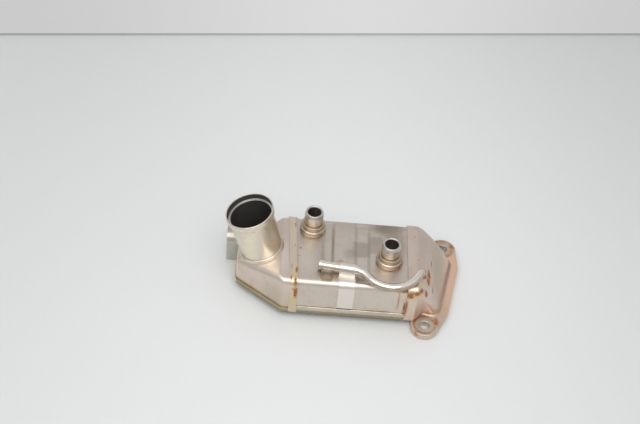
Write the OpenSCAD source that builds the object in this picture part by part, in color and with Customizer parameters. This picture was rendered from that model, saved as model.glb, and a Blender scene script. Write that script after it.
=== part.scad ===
// Exhaust gas cooler: a brazed bundle of flat gas tubes in a coolant jacket, with a bolted
// gas inlet, a slanted gas outlet tube, two coolant nipples and a thin pressure pipe.
// Millimetres, Z up. The origin is the centre of the inlet flange's sealing face.
// Inside at_core() X runs from the jacket's outlet end towards the inlet, Y is across the
// jacket from its middle, and Z is measured from the jacket's underside.

/* [Jacket] */
// Length of the coolant jacket between its two tube sheets
core_l = 113; // [100:1:140]
// Outside width of the jacket
core_w = 85; // [80:1:110]
// Outside height of the jacket
core_h = 42; // [40:1:56]
// Sheet thickness of jacket, headers and rims
sheet_t = 1.5; // [1:0.1:2]
// Outside bend radius of the pressed edges
bend_r = 6; // [4:0.5:9]
// Height of the tray's lip over the jacket's underside
tray_lip = 9; // [6:0.5:14]
// Depth of the two beads across the jacket's top
bead_d = 1; // [0.6:0.1:1.4]
// Start of the narrow bead
bead1_x = 27; // [24:0.5:30]
// Width of the narrow bead
bead1_w = 9.5; // [8:0.5:12]
// Start of the wide bead
bead2_x = 58.5; // [58:0.5:62]
// Width of the wide bead
bead2_w = 12.5; // [10:0.5:14]

/* [Gas tubes] */
// Number of flat gas tubes in the stack
tube_count = 8; // [6:1:9]
// Outside height of one flat tube
tube_t = 3.2; // [2.6:0.1:3.6]
// Outside width of one flat tube
tube_w = 76; // [60:1:78]
// Wall of a flat tube
tube_wall = 0.4; // [0.3:0.05:0.6]
// Length that a tube stands out of its tube sheet
tube_out = 1; // [0.5:0.25:2]
// Thickness of a tube sheet
plate_t = 2; // [1.5:0.25:3]
// Waves across one fin
fin_waves = 17; // [10:1:20]
// Height of a fin's sheet, measured upright on its slope
fin_t = 0.3; // [0.2:0.05:0.4]

/* [Gas outlet] */
// Turn of the outlet seam seen from above
outlet_skew = 3.5; // [2.5:0.1:5]
// Distance of the seam from the jacket's zero, towards the inlet
outlet_seam = 3.3; // [2.8:0.1:5]
// Length of the outlet tube sheet's rim
rim_l = 8; // [6:0.5:12]
// Straight run of the outlet header before its top leans, from the jacket's zero
outlet_straight = 11; // [10:0.5:16]
// Reach of the outlet header's narrow end from the jacket
outlet_reach = 54; // [50:1:70]
// Front corner of the narrow end, centre of its rounding
outlet_front = -7; // [-14:0.5:-4]
// Back corner of the narrow end, centre of its rounding
outlet_back = 11; // [8:0.5:20]
// Lean of the outlet tube and of the header's top
outlet_lean = 15.5; // [8:0.5:18]
// Height of the lip on the outlet header's cover
cover_lip = 5; // [3:0.5:8]
// Distance of the outlet tube's foot from the jacket
outlet_x = 31; // [29:0.5:33]
// Distance of the outlet tube's foot behind the jacket's middle
outlet_y = 2; // [0:0.5:4]
// Outside radius of the outlet tube at its foot
outlet_r = 20; // [17:0.5:20]
// Outside radius of the outlet tube under its mouth
outlet_top_r = 21; // [20.5:0.25:22]
// Outside radius of the widened mouth
mouth_r = 22.8; // [22.2:0.1:25]
// Length of the widened mouth
mouth_l = 6; // [4:0.5:10]
// Length of the outlet tube over the header
outlet_l = 51; // [40:1:70]
// Wall of the outlet tube
outlet_wall = 1.4; // [1:0.1:1.8]
// Height of the collar round the outlet tube's foot
neck_h = 4; // [3:0.5:8]
// Wall of that collar
collar_t = 1; // [0.8:0.1:2.4]

/* [Gas inlet] */
// Distance of the flange's centre from the jacket's inlet end
flange_reach = 26; // [24:1:40]
// Distance of the flange's centre behind the jacket's middle
flange_y = 2.75; // [0:0.25:6]
// Turn of the flange seen from above
flange_turn = 11.8; // [0:0.1:15]
// Thickness of the flange, which is also the height under the jacket
flange_t = 7; // [5:0.5:10]
// Distance between the two bolt holes
bolt_span = 102.5; // [98:0.5:112]
// Diameter of a bolt hole
bolt_d = 9; // [8.4:0.1:10.5]
// Radius of an ear
ear_r = 13; // [11:0.5:15]
// Width of the flange across its middle
flange_w = 38.6; // [34:0.2:44]
// Length of the flange's full width
flange_l = 76; // [70:1:80]
// Corner radius of the flange
flange_r = 8; // [5:0.5:10]
// Width of the gas port in the flange along the bolt line
port_l = 72; // [60:1:72]
// Depth of the gas port in the flange
port_d = 20.8; // [16:0.2:22]
// Distance of the port's centre from the bolt line, away from the jacket if positive
port_v = -1.1; // [-2:0.1:0]
// Length of the inlet header's lap over the jacket
skirt_lap = 5; // [4:0.5:8]
// Straight run of the inlet header
skirt_l = 9; // [9:0.5:11]

/* [Coolant] */
// First nipple, distance from the jacket's outlet end
nipple1_x = 16.4; // [15:0.2:18]
// First nipple, distance behind the middle
nipple1_y = 26.5; // [20:0.5:27]
// Second nipple, distance from the jacket's inlet end
nipple2_in = 22.9; // [21:0.1:25]
// Second nipple, distance behind the middle
nipple2_y = -8; // [-8:0.5:8]
// Height of a nipple over the jacket's top
nipple_h = 24.5; // [20:0.5:32]
// Outside radius of a nipple inside its collar
nipple_r = 8.2; // [7.6:0.1:8.4]
// Outside radius of the body that holds the hose
nipple_body_r = 9; // [8.8:0.05:9.6]
// Length of that body
nipple_body_l = 9.6; // [7:0.2:10]
// Wall of a nipple at its foot
nipple_wall = 1.8; // [1.2:0.1:2.2]
// Outside radius of a collar
collar_r = 12.4; // [11.6:0.1:12.6]
// Height of a collar
collar_h = 10.6; // [8:0.2:11]

/* [Pressure pipe] */
// Outside radius of the pipe
pipe_r = 4; // [3:0.1:4.2]
// Wall of the pipe
pipe_wall = 1.2; // [0.8:0.1:1.4]
// Start of the pipe, distance from the jacket's inlet end
pipe_back = 90; // [87:0.5:93]
// Position of the pipe's open end across the jacket
pipe_y = -23.8; // [-25:0.2:-22]
// Turn of the straight part towards the front
pipe_yaw = 6.2; // [3:0.2:8]
// Length of the straight part
pipe_l = 36.9; // [35:0.1:38]
// Height between the inlet header and the pipe over it
pipe_clear = 0.6; // [0.4:0.1:2]
// Outside radius of the barb at the pipe's end
barb_r = 4.8; // [4.5:0.1:5.4]
// Width of the clip that holds the pipe
clip_w = 15; // [10:0.5:15]
// Sheet thickness of the clip
clip_t = 1.2; // [0.8:0.1:1.6]
// Drop of the clip's leg on the jacket's front
clip_drop = 31; // [20:1:31]

/* [Support] */
// Sheet thickness of the support bracket
bracket_t = 3; // [2:0.25:4]
// Width of the support bracket
bracket_w = 21; // [16:0.5:24]
// Far side of the bracket from the jacket
bracket_x = 66; // [66:0.5:74]
// Front of the bracket's leg behind the jacket's middle
bracket_y = 23; // [22:0.5:26]
// Height where the bracket's leg turns back, over the jacket's underside
bracket_h = 16; // [12:0.5:20]
// Outside radius of the bracket's bend
bracket_r = 10; // [8:0.5:13]
// Length of the bracket's flat top
bracket_l = 18; // [16:0.5:24]
// Hole in the bracket's flat top
bracket_d = 9; // [6.6:0.1:9]

/* [Hidden] */
$fn = 96;
hull_fn = 32;
arc_n = 8;
loft_n = 12;
// Braze gap between laid sheets and round bosses
gap = 0.1;
// Braze gap of tubes in their slots and fins in their tubes
fine_gap = 0.05;
// Overlap of a cut past the face that it opens
past = 1;
lap = gap + sheet_t;
outer_w = core_w + 2 * lap;
outer_h = core_h + lap;
outer_r = bend_r + lap;
foot_r = 1.4;
core_x1 = core_l + plate_t + tube_out;
skirt_x0 = core_l - skirt_lap;
skirt_x1 = skirt_x0 + skirt_l;
half_span = bolt_span / 2;
flange_x = core_l + flange_reach;
nipple2_x = core_l - nipple2_in;
pipe_x = core_l - pipe_back;
// Tube stack between tray floor and beaded top
stack_z0 = sheet_t;
stack_z1 = core_h - sheet_t - bead_d;
stack_pitch = (stack_z1 - stack_z0) / tube_count;
tube_inner_t = tube_t - 2 * tube_wall;
fin_w = tube_w - tube_t - 2 * fine_gap;
fin_step = fin_w / fin_waves / 2;
fin_flat_share = 0.35;
fin_flat = fin_step * fin_flat_share;
fin_top = tube_inner_t / 2 - fine_gap;
// Outlet seam: X of its plane at distance d from the rim's jacket side
function seam_x(d, y) = outlet_seam + d / cos(outlet_skew) - y * tan(outlet_skew);
seam_x0 = seam_x(-rim_l, outer_w / 2) - past;
seam_x1 = seam_x(0, -outer_w / 2) + past;
tube_x0 = seam_x(-plate_t, tube_w / 2) - tube_out;
// Outlet header, with its top tangent to the roundings
outlet_turn_x = -outlet_straight;
outlet_end_x = -outlet_reach + bend_r;
outlet_y1 = core_w / 2 - bend_r;
front_turn_x = outlet_turn_x + 2 * outlet_y1 * tan(outlet_skew);
front_a = atan2(outlet_y1 + outlet_front, front_turn_x - outlet_end_x);
outlet_z1 = core_h - bend_r;
outlet_end_z = outlet_z1 - (outlet_turn_x - outlet_end_x) * tan(outlet_lean);
outlet_z = outlet_z1 + bend_r * cos(outlet_lean)
    - (outlet_turn_x - bend_r * sin(outlet_lean) + outlet_x) * tan(outlet_lean);
cover_r = bend_r + gap;
neck_r = outlet_r + gap;
mouth_step = 2;
// Places of the loft's rings over the nose and over the turn, as shares of the rounding
nose_rings = [0.98, 0.9, 0.76, 0.55, 0.3, 0];
turn_rings = [0.65, 0.4, 0.2, 0];
// How far the inlet duct keeps its first and its last direction
duct_start = 0.25;
duct_end = 0.15;
// Coolant collars and nipple ends
collar_foot_h = collar_h * 0.47;
collar_step_h = collar_h * 0.57;
collar_top_h = collar_h * 0.9;
collar_in = 1.6;
collar_round = 0.5;
collar_chamfer = 0.9;
nipple_tip = 2.5;
nipple_edge = 0.6;
// Pipe and clip
pipe_z = outer_h + pipe_clear + pipe_r;
pipe_in_r = pipe_r - pipe_wall;
pipe_n = 24;
barb_step = 0.8;
barb_flat = 2;
barb_l = 6;
// Set-back of the bent length where it starts inside the straight end's wall
pipe_step = 0.05;
// Course of the bent pipe: position, heading and drop at each station
bend1_r = 10;
pipe_dip = 48;
bend2_r = 27;
pipe_head = 58;
bend3_r = 10;
pipe_drop = 70;
run1_l = 8;
run2_l = 6;
run3_l = 4.5;
bend1_n = 5;
bend2_n = 12;
bend3_n = 5;
function left_of(h) = [-sin(h), cos(h)];
function ahead_of(h) = [cos(h), sin(h)];
bend1_p = [pipe_x, pipe_y] + pipe_l * ahead_of(-pipe_yaw) - bend1_r * left_of(-pipe_yaw);
bend2_p = bend1_p + (bend1_r + bend2_r) * left_of(-pipe_dip) + run1_l * ahead_of(-pipe_dip);
bend3_p = bend2_p - bend2_r * left_of(pipe_head) + run2_l * ahead_of(pipe_head);
bend1_h = [for (k = [0:bend1_n]) -pipe_yaw + (pipe_yaw - pipe_dip) * k / bend1_n];
bend2_h = [for (k = [0:bend2_n]) -pipe_dip + (pipe_dip + pipe_head) * k / bend2_n];
pipe_track = concat(
    [for (h = bend1_h) concat(bend1_p + bend1_r * left_of(h), [pipe_z, h, 0])],
    [for (h = bend2_h) concat(bend2_p - bend2_r * left_of(h), [pipe_z, h, 0])],
    [for (k = [0:bend3_n]) let (a = pipe_drop * k / bend3_n) concat(
        bend3_p + bend3_r * sin(a) * ahead_of(pipe_head),
        [pipe_z - bend3_r * (1 - cos(a)), pipe_head, a]
    )]
);
pipe_way = [cos(pipe_drop) * cos(pipe_head), cos(pipe_drop) * sin(pipe_head), -sin(pipe_drop)];
pipe_last = pipe_track[len(pipe_track) - 1];
pipe_end = [pipe_last[0], pipe_last[1], pipe_last[2]] + run3_l * pipe_way;
clip_r = pipe_r + gap;
// Distance of the clip from the first bend
clip_back = 1.5;
clip_s = pipe_l - clip_w - clip_back;
clip_x = pipe_x + clip_s;
clip_y = pipe_y - (clip_s + clip_w / 2) * sin(pipe_yaw);
// Sides of the header's back wall, for the bracket's weld tab
tab_from = [outlet_end_x, outlet_back];
tab_to = [outlet_turn_x, outlet_y1];
tab_turn = atan2(tab_to[1] - tab_from[1], tab_to[0] - tab_from[0]);
tab_o = bend_r + gap;
// Where the tab's inner plane crosses the leg's front
tab_s = (bracket_y - outlet_back - tab_o * cos(tab_turn)) / sin(tab_turn);
tab_x = outlet_end_x + tab_s * cos(tab_turn) - tab_o * sin(tab_turn);
tab_l = 14;
bracket_x1 = -bracket_x + bracket_w;

// Placement
module at_core() {
    translate([-flange_x, -flange_y, flange_t]) children();
}
module along_x(x0, l) {
    translate([x0, 0, 0]) rotate([90, 0, 90]) linear_extrude(l) children();
}
module seam_slab(d0, d1) {
    translate([outlet_seam, 0, 0]) rotate(outlet_skew)
        translate([d0, -core_w, -core_h]) cube([d1 - d0, 2 * core_w, 3 * core_h]);
}
module at_nipple(i) {
    x = i == 1 ? nipple1_x : nipple2_x;
    y = i == 1 ? nipple1_y : nipple2_y;
    translate([x, y, core_h]) children();
}
module at_outlet() {
    translate([-outlet_x, outlet_y, outlet_z]) rotate([0, -outlet_lean, 0]) children();
}
module at_flange() {
    translate([flange_x, flange_y, -flange_t]) rotate([0, 0, -flange_turn]) children();
}

// A closed skin over rings that follow each other
module loft(rings) {
    n = len(rings[0]);
    last = len(rings) - 1;
    polyhedron(
        points = [for (r = rings) for (p = r) p],
        faces = concat(
            [[for (i = [0:n - 1]) i]],
            [[for (i = [n - 1:-1:0]) last * n + i]],
            [for (k = [0:last - 1]) for (i = [0:n - 1])
                [k * n + i, (k + 1) * n + i, (k + 1) * n + (i + 1) % n]],
            [for (k = [0:last - 1]) for (i = [0:n - 1])
                [k * n + i, (k + 1) * n + (i + 1) % n, k * n + (i + 1) % n]]
        )
    );
}

// Flat outlines, Y to the right and Z up
module dome_2d(w, z0, z1, r) {
    translate([-w / 2, z0]) square([w, z1 - r - z0]);
    translate([-w / 2 + r, z0]) square([w - 2 * r, z1 - z0]);
    for (s = [-1, 1]) translate([s * (w / 2 - r), z1 - r]) circle(r = r);
}
module frame_2d(w, z0, z1, r, rb) {
    translate([0, rb]) dome_2d(w, z0, z1 - rb, r);
    translate([-w / 2 + rb, z0]) square([w - 2 * rb, 2 * rb]);
    for (s = [-1, 1]) translate([s * (w / 2 - rb), z0 + rb]) circle(r = rb);
}
module slot_2d(w, t) {
    square([w - t, t], center = true);
    for (s = [-1, 1]) translate([s * (w - t) / 2, 0]) circle(r = t / 2);
}
function stack_z(i) = stack_z0 + (i - 0.5) * stack_pitch;

module tube_slots(x0, l) {
    for (i = [1:tube_count])
        along_x(x0, l) translate([0, stack_z(i)]) slot_2d(tube_w + 2 * fine_gap, tube_t + 2 * fine_gap);
}

// Jacket
module jacket_shell() at_core() color([0.72, 0.69, 0.64]) {
    bead_y = core_w - 2 * bend_r;
    difference() {
        union() {
            difference() {
                along_x(seam_x0, core_l - seam_x0) dome_2d(core_w, sheet_t, core_h, bend_r);
                along_x(seam_x0 - past, core_l - seam_x0 + 2 * past)
                    dome_2d(core_w - 2 * sheet_t, 0, core_h - sheet_t, bend_r - sheet_t);
                seam_slab(-core_l, 0);
            }
            translate([bead1_x - sheet_t, -bead_y / 2, core_h - sheet_t - bead_d])
                cube([bead1_w + 2 * sheet_t, bead_y, sheet_t]);
            translate([bead2_x - sheet_t, -bead_y / 2, core_h - sheet_t - bead_d])
                cube([bead2_w + 2 * sheet_t, bead_y, sheet_t]);
        }
        translate([bead1_x, -core_w / 2, core_h - bead_d]) cube([bead1_w, core_w, bead_d + past]);
        translate([bead2_x, -core_w / 2, core_h - bead_d]) cube([bead2_w, core_w, bead_d + past]);
        for (i = [1, 2])
            at_nipple(i) translate([0, 0, -sheet_t - bead_d - past])
                cylinder(r = nipple_r + gap, h = sheet_t + bead_d + 2 * past);
    }
}
module jacket_tray() at_core() color([0.68, 0.65, 0.60]) {
    difference() {
        along_x(seam_x0, skirt_x0 - seam_x0) frame_2d(outer_w, 0, tray_lip + foot_r, foot_r, foot_r);
        translate([seam_x0 - past, -core_w / 2 - gap, sheet_t])
            cube([skirt_x0 - seam_x0 + 2 * past, core_w + 2 * gap, tray_lip + past]);
        translate([seam_x0 - past, -outer_w / 2 - past, tray_lip])
            cube([skirt_x0 - seam_x0 + 2 * past, outer_w + 2 * past, tray_lip]);
        seam_slab(-core_l, 0);
    }
}

// Tube sheets
module outlet_tube_sheet() at_core() color([0.74, 0.70, 0.58]) {
    difference() {
        intersection() {
            along_x(seam_x0, seam_x1 - seam_x0) frame_2d(outer_w, 0, outer_h, outer_r, foot_r);
            seam_slab(-rim_l, 0);
        }
        intersection() {
            along_x(seam_x0 - past, seam_x1 - seam_x0)
                dome_2d(core_w + 2 * gap, sheet_t, core_h + gap, bend_r + gap);
            seam_slab(-rim_l - past, -plate_t);
        }
        tube_slots(seam_x0, seam_x1 - seam_x0);
    }
}
module inlet_tube_sheet() at_core() color([0.70, 0.66, 0.60]) {
    difference() {
        along_x(core_l, plate_t) dome_2d(core_w, sheet_t, core_h, bend_r);
        tube_slots(core_l - past, plate_t + 2 * past);
    }
}

// Gas tubes and their fins
module gas_tube(i) at_core() color([0.66, 0.64, 0.60]) {
    translate([0, 0, stack_z(i)]) difference() {
        along_x(tube_x0, core_x1 - tube_x0) slot_2d(tube_w, tube_t);
        along_x(tube_x0 - past, core_x1 - tube_x0 + 2 * past)
            slot_2d(tube_w - 2 * tube_wall, tube_inner_t);
    }
}
function fin_edge(low) = [
    for (k = [0:2 * fin_waves])
        for (s = [-1, 1])
            [
                -fin_w / 2 + k * fin_step
                    + (k == 0 && s < 0 || k == 2 * fin_waves && s > 0 ? 0 : s * fin_flat / 2),
                (k % 2 == 0 ? -fin_top + fin_t : fin_top) - low
            ]
];
function flipped(list) = [for (i = [len(list) - 1:-1:0]) list[i]];
module gas_fin(i) at_core() color([0.60, 0.58, 0.55]) {
    along_x(0, core_l) translate([0, stack_z(i)])
        polygon(concat(fin_edge(0), flipped(fin_edge(fin_t))));
}

// Gas outlet
function edge_at(x, turn_x, h1, h2, r) = let (
    a = atan2(h1 - h2, turn_x - outlet_end_x)
)
    x >= turn_x ? h1 + r
    : x >= turn_x - r * sin(a) ? h1 + sqrt(r * r - (x - turn_x) ^ 2)
    : x >= outlet_end_x - r * sin(a) ? h1 + r * cos(a) - (turn_x - r * sin(a) - x) * tan(a)
    : h2 + sqrt(r * r - (x - outlet_end_x) ^ 2);
function tank_ring(x, r, z0) = let (
    f = edge_at(x, front_turn_x, outlet_y1, -outlet_front, r),
    b = edge_at(x, outlet_turn_x, outlet_y1, outlet_back, r),
    z = edge_at(x, outlet_turn_x, outlet_z1, outlet_end_z, r),
    c = x < outlet_end_x ? sqrt(r * r - (x - outlet_end_x) ^ 2) : r
) concat(
    [[x, b, z0]],
    [for (i = [0:arc_n]) [x, b - c + c * cos(90 * i / arc_n), z - c + c * sin(90 * i / arc_n)]],
    [for (i = [0:arc_n]) [x, -f + c - c * sin(90 * i / arc_n), z - c + c * cos(90 * i / arc_n)]],
    [[x, -f, z0]]
);
module outlet_tank(t) {
    r = bend_r - t;
    open = t > 0 ? past : 0;
    z0 = sheet_t - open;
    xs = concat(
        [for (f = nose_rings) outlet_end_x - f * r],
        [for (k = [1:loft_n - 1])
            outlet_end_x + (outlet_turn_x - outlet_end_x - bend_r) * k / (loft_n - 1)],
        [for (f = turn_rings) outlet_turn_x - f * r],
        [for (f = turn_rings) front_turn_x - f * r * sin(front_a)]
    );
    end = [for (p = tank_ring(front_turn_x, r, z0)) [seam_x(open - plate_t - gap, p[1]), p[1], p[2]]];
    loft(concat([for (x = xs) tank_ring(x, r, z0)], [end]));
}
module outlet_header() at_core() color([0.73, 0.68, 0.62]) {
    difference() {
        outlet_tank(0);
        outlet_tank(sheet_t);
        at_outlet() translate([0, 0, -bend_r]) cylinder(r = neck_r, h = 2 * bend_r);
    }
}
module outlet_collar() at_core() color([0.74, 0.69, 0.60]) {
    at_outlet() rotate_extrude() polygon([
        [neck_r, gap],
        [neck_r + 1.8 * collar_t, gap],
        [neck_r + collar_t, gap + collar_t],
        [neck_r + collar_t, neck_h - collar_t / 2],
        [neck_r + collar_t / 2, neck_h],
        [neck_r, neck_h]
    ]);
}
module outlet_plan(r, z0, h) {
    hull() {
        for (p = [
            [0, -outlet_y1],
            [0, outlet_y1],
            [front_turn_x, -outlet_y1],
            [outlet_turn_x, outlet_y1],
            [outlet_end_x, outlet_front],
            [outlet_end_x, outlet_back]
        ])
            translate([p[0], p[1], z0]) cylinder(r = r, h = h, $fn = hull_fn);
    }
}
module outlet_cover() at_core() color([0.55, 0.50, 0.36]) {
    difference() {
        outlet_plan(cover_r + sheet_t, 0, cover_lip);
        outlet_plan(cover_r, sheet_t, cover_lip);
        seam_slab(-rim_l, core_l);
    }
}
module outlet_tube() at_core() color([0.76, 0.72, 0.58]) {
    at_outlet() rotate_extrude() polygon([
        [outlet_r, -sheet_t],
        [outlet_r, neck_h],
        [outlet_top_r, outlet_l - mouth_l - mouth_step],
        [mouth_r, outlet_l - mouth_l],
        [mouth_r, outlet_l],
        [mouth_r - outlet_wall, outlet_l],
        [mouth_r - outlet_wall, outlet_l - mouth_l],
        [outlet_top_r - outlet_wall, outlet_l - mouth_l],
        [outlet_top_r - outlet_wall, outlet_l - mouth_l - mouth_step],
        [outlet_r - outlet_wall, neck_h],
        [outlet_r - outlet_wall, -sheet_t]
    ]);
}
module support_bracket() at_core() color([0.62, 0.60, 0.56]) {
    foot_z = -flange_t;
    tab_z = cover_lip + past;
    back_y = bracket_y + bracket_r;
    top_z = bracket_h + bracket_r - bracket_t;
    difference() {
        union() {
            along_x(-bracket_x, bracket_w) {
                translate([bracket_y, foot_z]) square([bracket_t, bracket_h - foot_z]);
                intersection() {
                    translate([bracket_y, bracket_h]) square(bracket_r);
                    translate([back_y, bracket_h]) difference() {
                        circle(r = bracket_r);
                        circle(r = bracket_r - bracket_t);
                    }
                }
                translate([back_y, top_z]) square([bracket_l, bracket_t]);
            }
            translate([bracket_x1 - past, bracket_y, tab_z])
                cube([tab_x - bracket_x1 + past, bracket_t, bracket_h - tab_z]);
            translate([tab_from[0], tab_from[1], tab_z]) rotate(tab_turn)
                translate([tab_s, tab_o, 0]) cube([tab_l, bracket_t, bracket_h - tab_z]);
        }
        translate([-bracket_x + bracket_w / 2, back_y + bracket_l / 2, top_z - past])
            cylinder(d = bracket_d, h = bracket_t + 2 * past);
    }
}

// Gas inlet: a duct that turns from the jacket's end down to the flange's port
function arc(x, y, r, a) = [
    for (i = [0:arc_n]) [x + r * cos(a + 90 * i / arc_n), y + r * sin(a + 90 * i / arc_n)]
];
function ring(w, h, r, rb) = concat(
    arc(w / 2 - r, h / 2 - r, r, 0),
    arc(-w / 2 + r, h / 2 - r, r, 90),
    arc(-w / 2 + rb, -h / 2 + rb, rb, 180),
    arc(w / 2 - rb, -h / 2 + rb, rb, 270)
);
function at_end(x, list) = [for (p = list) [x, p[0], outer_h / 2 + p[1]]];
function at_port(z, list) = [
    for (p = list)
        [
            flange_x + p[0] * sin(flange_turn) + (p[1] + port_v) * cos(flange_turn),
            flange_y + p[0] * cos(flange_turn) - (p[1] + port_v) * sin(flange_turn),
            z
        ]
];
function turned(a, b, t) = let (
    p1 = [a[0] + duct_start * (b[0] - a[0]), a[1], a[2]],
    p2 = [b[0], b[1], b[2] + duct_end * (a[2] - b[2])]
) (1 - t) ^ 3 * a + 3 * (1 - t) ^ 2 * t * p1 + 3 * (1 - t) * t ^ 2 * p2 + t ^ 3 * b;

module duct(t) {
    open = t > 0 ? past : 0;
    end_2d = ring(outer_w - 2 * t, outer_h - 2 * t, outer_r - t, t > 0 ? gap : foot_r);
    port_2d = ring(port_l + 2 * (sheet_t - t), port_d + 2 * (sheet_t - t), flange_r - t, flange_r - t);
    end_3d = at_end(skirt_x1, end_2d);
    port_3d = at_port(0, port_2d);
    loft(concat(
        [at_end(skirt_x0 - open, end_2d)],
        [for (k = [0:loft_n]) [for (i = [0:len(end_3d) - 1]) turned(end_3d[i], port_3d[i], k / loft_n)]],
        t > 0 ? [at_port(-open, port_2d)] : []
    ));
}
module inlet_header() at_core() color([0.74, 0.68, 0.62]) {
    difference() {
        duct(0);
        duct(sheet_t);
        pipe_sweep(pipe_r + gap, past, past);
    }
}
module inlet_flange() color([0.80, 0.66, 0.56]) {
    ear_t = acos((ear_r - flange_r) / norm([half_span - flange_l / 2 + flange_r, flange_w / 2 - flange_r]));
    ear_a = atan2(flange_w / 2 - flange_r, -(half_span - flange_l / 2 + flange_r));
    ear_p = [cos(ear_a - ear_t), sin(ear_a - ear_t)];
    corner = [flange_l / 2 - flange_r, flange_w / 2 - flange_r];
    side = [
        [flange_w / 2, corner[0]],
        [corner[1] + flange_r * ear_p[1], corner[0] + flange_r * ear_p[0]],
        [ear_r * ear_p[1], half_span + ear_r * ear_p[0]]
    ];
    at_core() at_flange() difference() {
        linear_extrude(flange_t) {
            polygon(concat(
                side,
                [for (p = flipped(side)) [-p[0], p[1]]],
                [for (p = side) [-p[0], -p[1]]],
                [for (p = flipped(side)) [p[0], -p[1]]]
            ));
            for (s = [-1, 1]) {
                translate([corner[1], s * corner[0]]) circle(r = flange_r);
                translate([-corner[1], s * corner[0]]) circle(r = flange_r);
                translate([0, s * half_span]) circle(r = ear_r);
            }
        }
        for (s = [-1, 1])
            translate([0, s * half_span, -past]) cylinder(d = bolt_d, h = flange_t + 2 * past);
        translate([port_v, 0, -past]) linear_extrude(flange_t + 2 * past) {
            square([port_d - 2 * flange_r + 2 * sheet_t, port_l], center = true);
            square([port_d, port_l - 2 * flange_r + 2 * sheet_t], center = true);
            for (s = [-1, 1], m = [-1, 1])
                translate([
                    m * (port_d / 2 - flange_r + sheet_t),
                    s * (port_l / 2 - flange_r + sheet_t)
                ]) circle(r = flange_r - sheet_t);
        }
    }
}

// Coolant nipples and their collars
module coolant_collar(i) at_core() color([0.76, 0.70, 0.58]) {
    step_r = collar_r - collar_in;
    at_nipple(i) rotate_extrude() polygon([
        [nipple_r + gap, 0],
        [collar_r, 0],
        [collar_r, collar_foot_h],
        [collar_r - collar_round, collar_foot_h + collar_round],
        [step_r, collar_step_h],
        [step_r, collar_top_h],
        [step_r - collar_chamfer, collar_h],
        [nipple_r + gap, collar_h]
    ]);
}
module coolant_nipple(i) at_core() color([0.72, 0.70, 0.66]) {
    body_z1 = nipple_h - nipple_tip;
    body_z0 = body_z1 - nipple_body_l;
    rise = nipple_body_r - nipple_r;
    inner = nipple_r - nipple_wall;
    at_nipple(i) rotate_extrude() polygon([
        [inner, -sheet_t],
        [nipple_r, -sheet_t],
        [nipple_r, body_z0 - rise],
        [nipple_body_r, body_z0],
        [nipple_body_r, body_z1],
        [nipple_r, nipple_h],
        [inner + nipple_edge, nipple_h],
        [inner, nipple_h - nipple_edge]
    ]);
}

// Pressure pipe: a turned straight end, then a swept length through three bends
function pipe_ring(p, r) = let (h = p[3], d = p[4]) [
    for (i = [0:pipe_n - 1])
        [p[0], p[1], p[2]]
            + r * cos(360 * i / pipe_n) * [-sin(h), cos(h), 0]
            + r * sin(360 * i / pipe_n) * [sin(d) * cos(h), sin(d) * sin(h), cos(d)]
];
module pipe_sweep(r, before, after) {
    from = pipe_track[0] - concat(before * ahead_of(-pipe_yaw), [0, 0, 0]);
    to = concat(pipe_end + after * pipe_way, [pipe_head, pipe_drop]);
    loft([for (p = concat([from], pipe_track, [to])) pipe_ring(p, r)]);
}
module pressure_pipe() at_core() color([0.74, 0.73, 0.68]) {
    translate([pipe_x, pipe_y, pipe_z]) rotate([0, 90, -pipe_yaw]) rotate_extrude() polygon([
        [pipe_in_r, 0],
        [barb_r - barb_step, 0],
        [barb_r, barb_step],
        [barb_r, barb_step + barb_flat],
        [pipe_r, barb_l],
        [pipe_r, pipe_l],
        [pipe_in_r, pipe_l]
    ]);
    difference() {
        pipe_sweep(pipe_r - pipe_step, past, 0);
        pipe_sweep(pipe_in_r + 2 * pipe_step, 2 * past, past);
    }
}
module pipe_clip() at_core() color([0.80, 0.79, 0.76]) {
    y1 = -core_w / 2 + bend_r;
    r0 = bend_r + gap;
    translate([pipe_x, pipe_y, 0]) rotate(-pipe_yaw) along_x(clip_s, clip_w) {
        translate([0, pipe_z]) difference() {
            circle(r = clip_r + clip_t);
            circle(r = clip_r);
        }
        difference() {
            translate([-clip_r - clip_t, core_h + gap])
                square([2 * (clip_r + clip_t), pipe_z - core_h - gap]);
            translate([0, pipe_z]) circle(r = clip_r);
            translate([-clip_r + clip_t, core_h + gap + clip_t])
                square([clip_w + clip_r, pipe_z - core_h]);
        }
    }
    along_x(clip_x, clip_w) {
        translate([y1, core_h + gap]) square([clip_y - y1, clip_t]);
        intersection() {
            translate([y1 - bend_r - lap, core_h - bend_r]) square(bend_r + lap);
            translate([y1, core_h - bend_r]) difference() {
                circle(r = r0 + clip_t);
                circle(r = r0);
            }
        }
        translate([-core_w / 2 - gap - clip_t, core_h - clip_drop])
            square([clip_t, clip_drop - bend_r]);
    }
}

jacket_shell();
jacket_tray();
outlet_tube_sheet();
inlet_tube_sheet();
for (i = [1:tube_count]) {
    gas_tube(i);
    gas_fin(i);
}
outlet_header();
outlet_cover();
outlet_tube();
outlet_collar();
support_bracket();
inlet_header();
inlet_flange();
for (i = [1, 2]) {
    coolant_collar(i);
    coolant_nipple(i);
}
pressure_pipe();
pipe_clip();
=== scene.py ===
# Dresses the exhaust gas cooler: smooth pressed sheets, turned ends, a weld fillet, heat tint and rust.
import math

import bmesh
import bpy
from mathutils import Matrix, Vector


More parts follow.
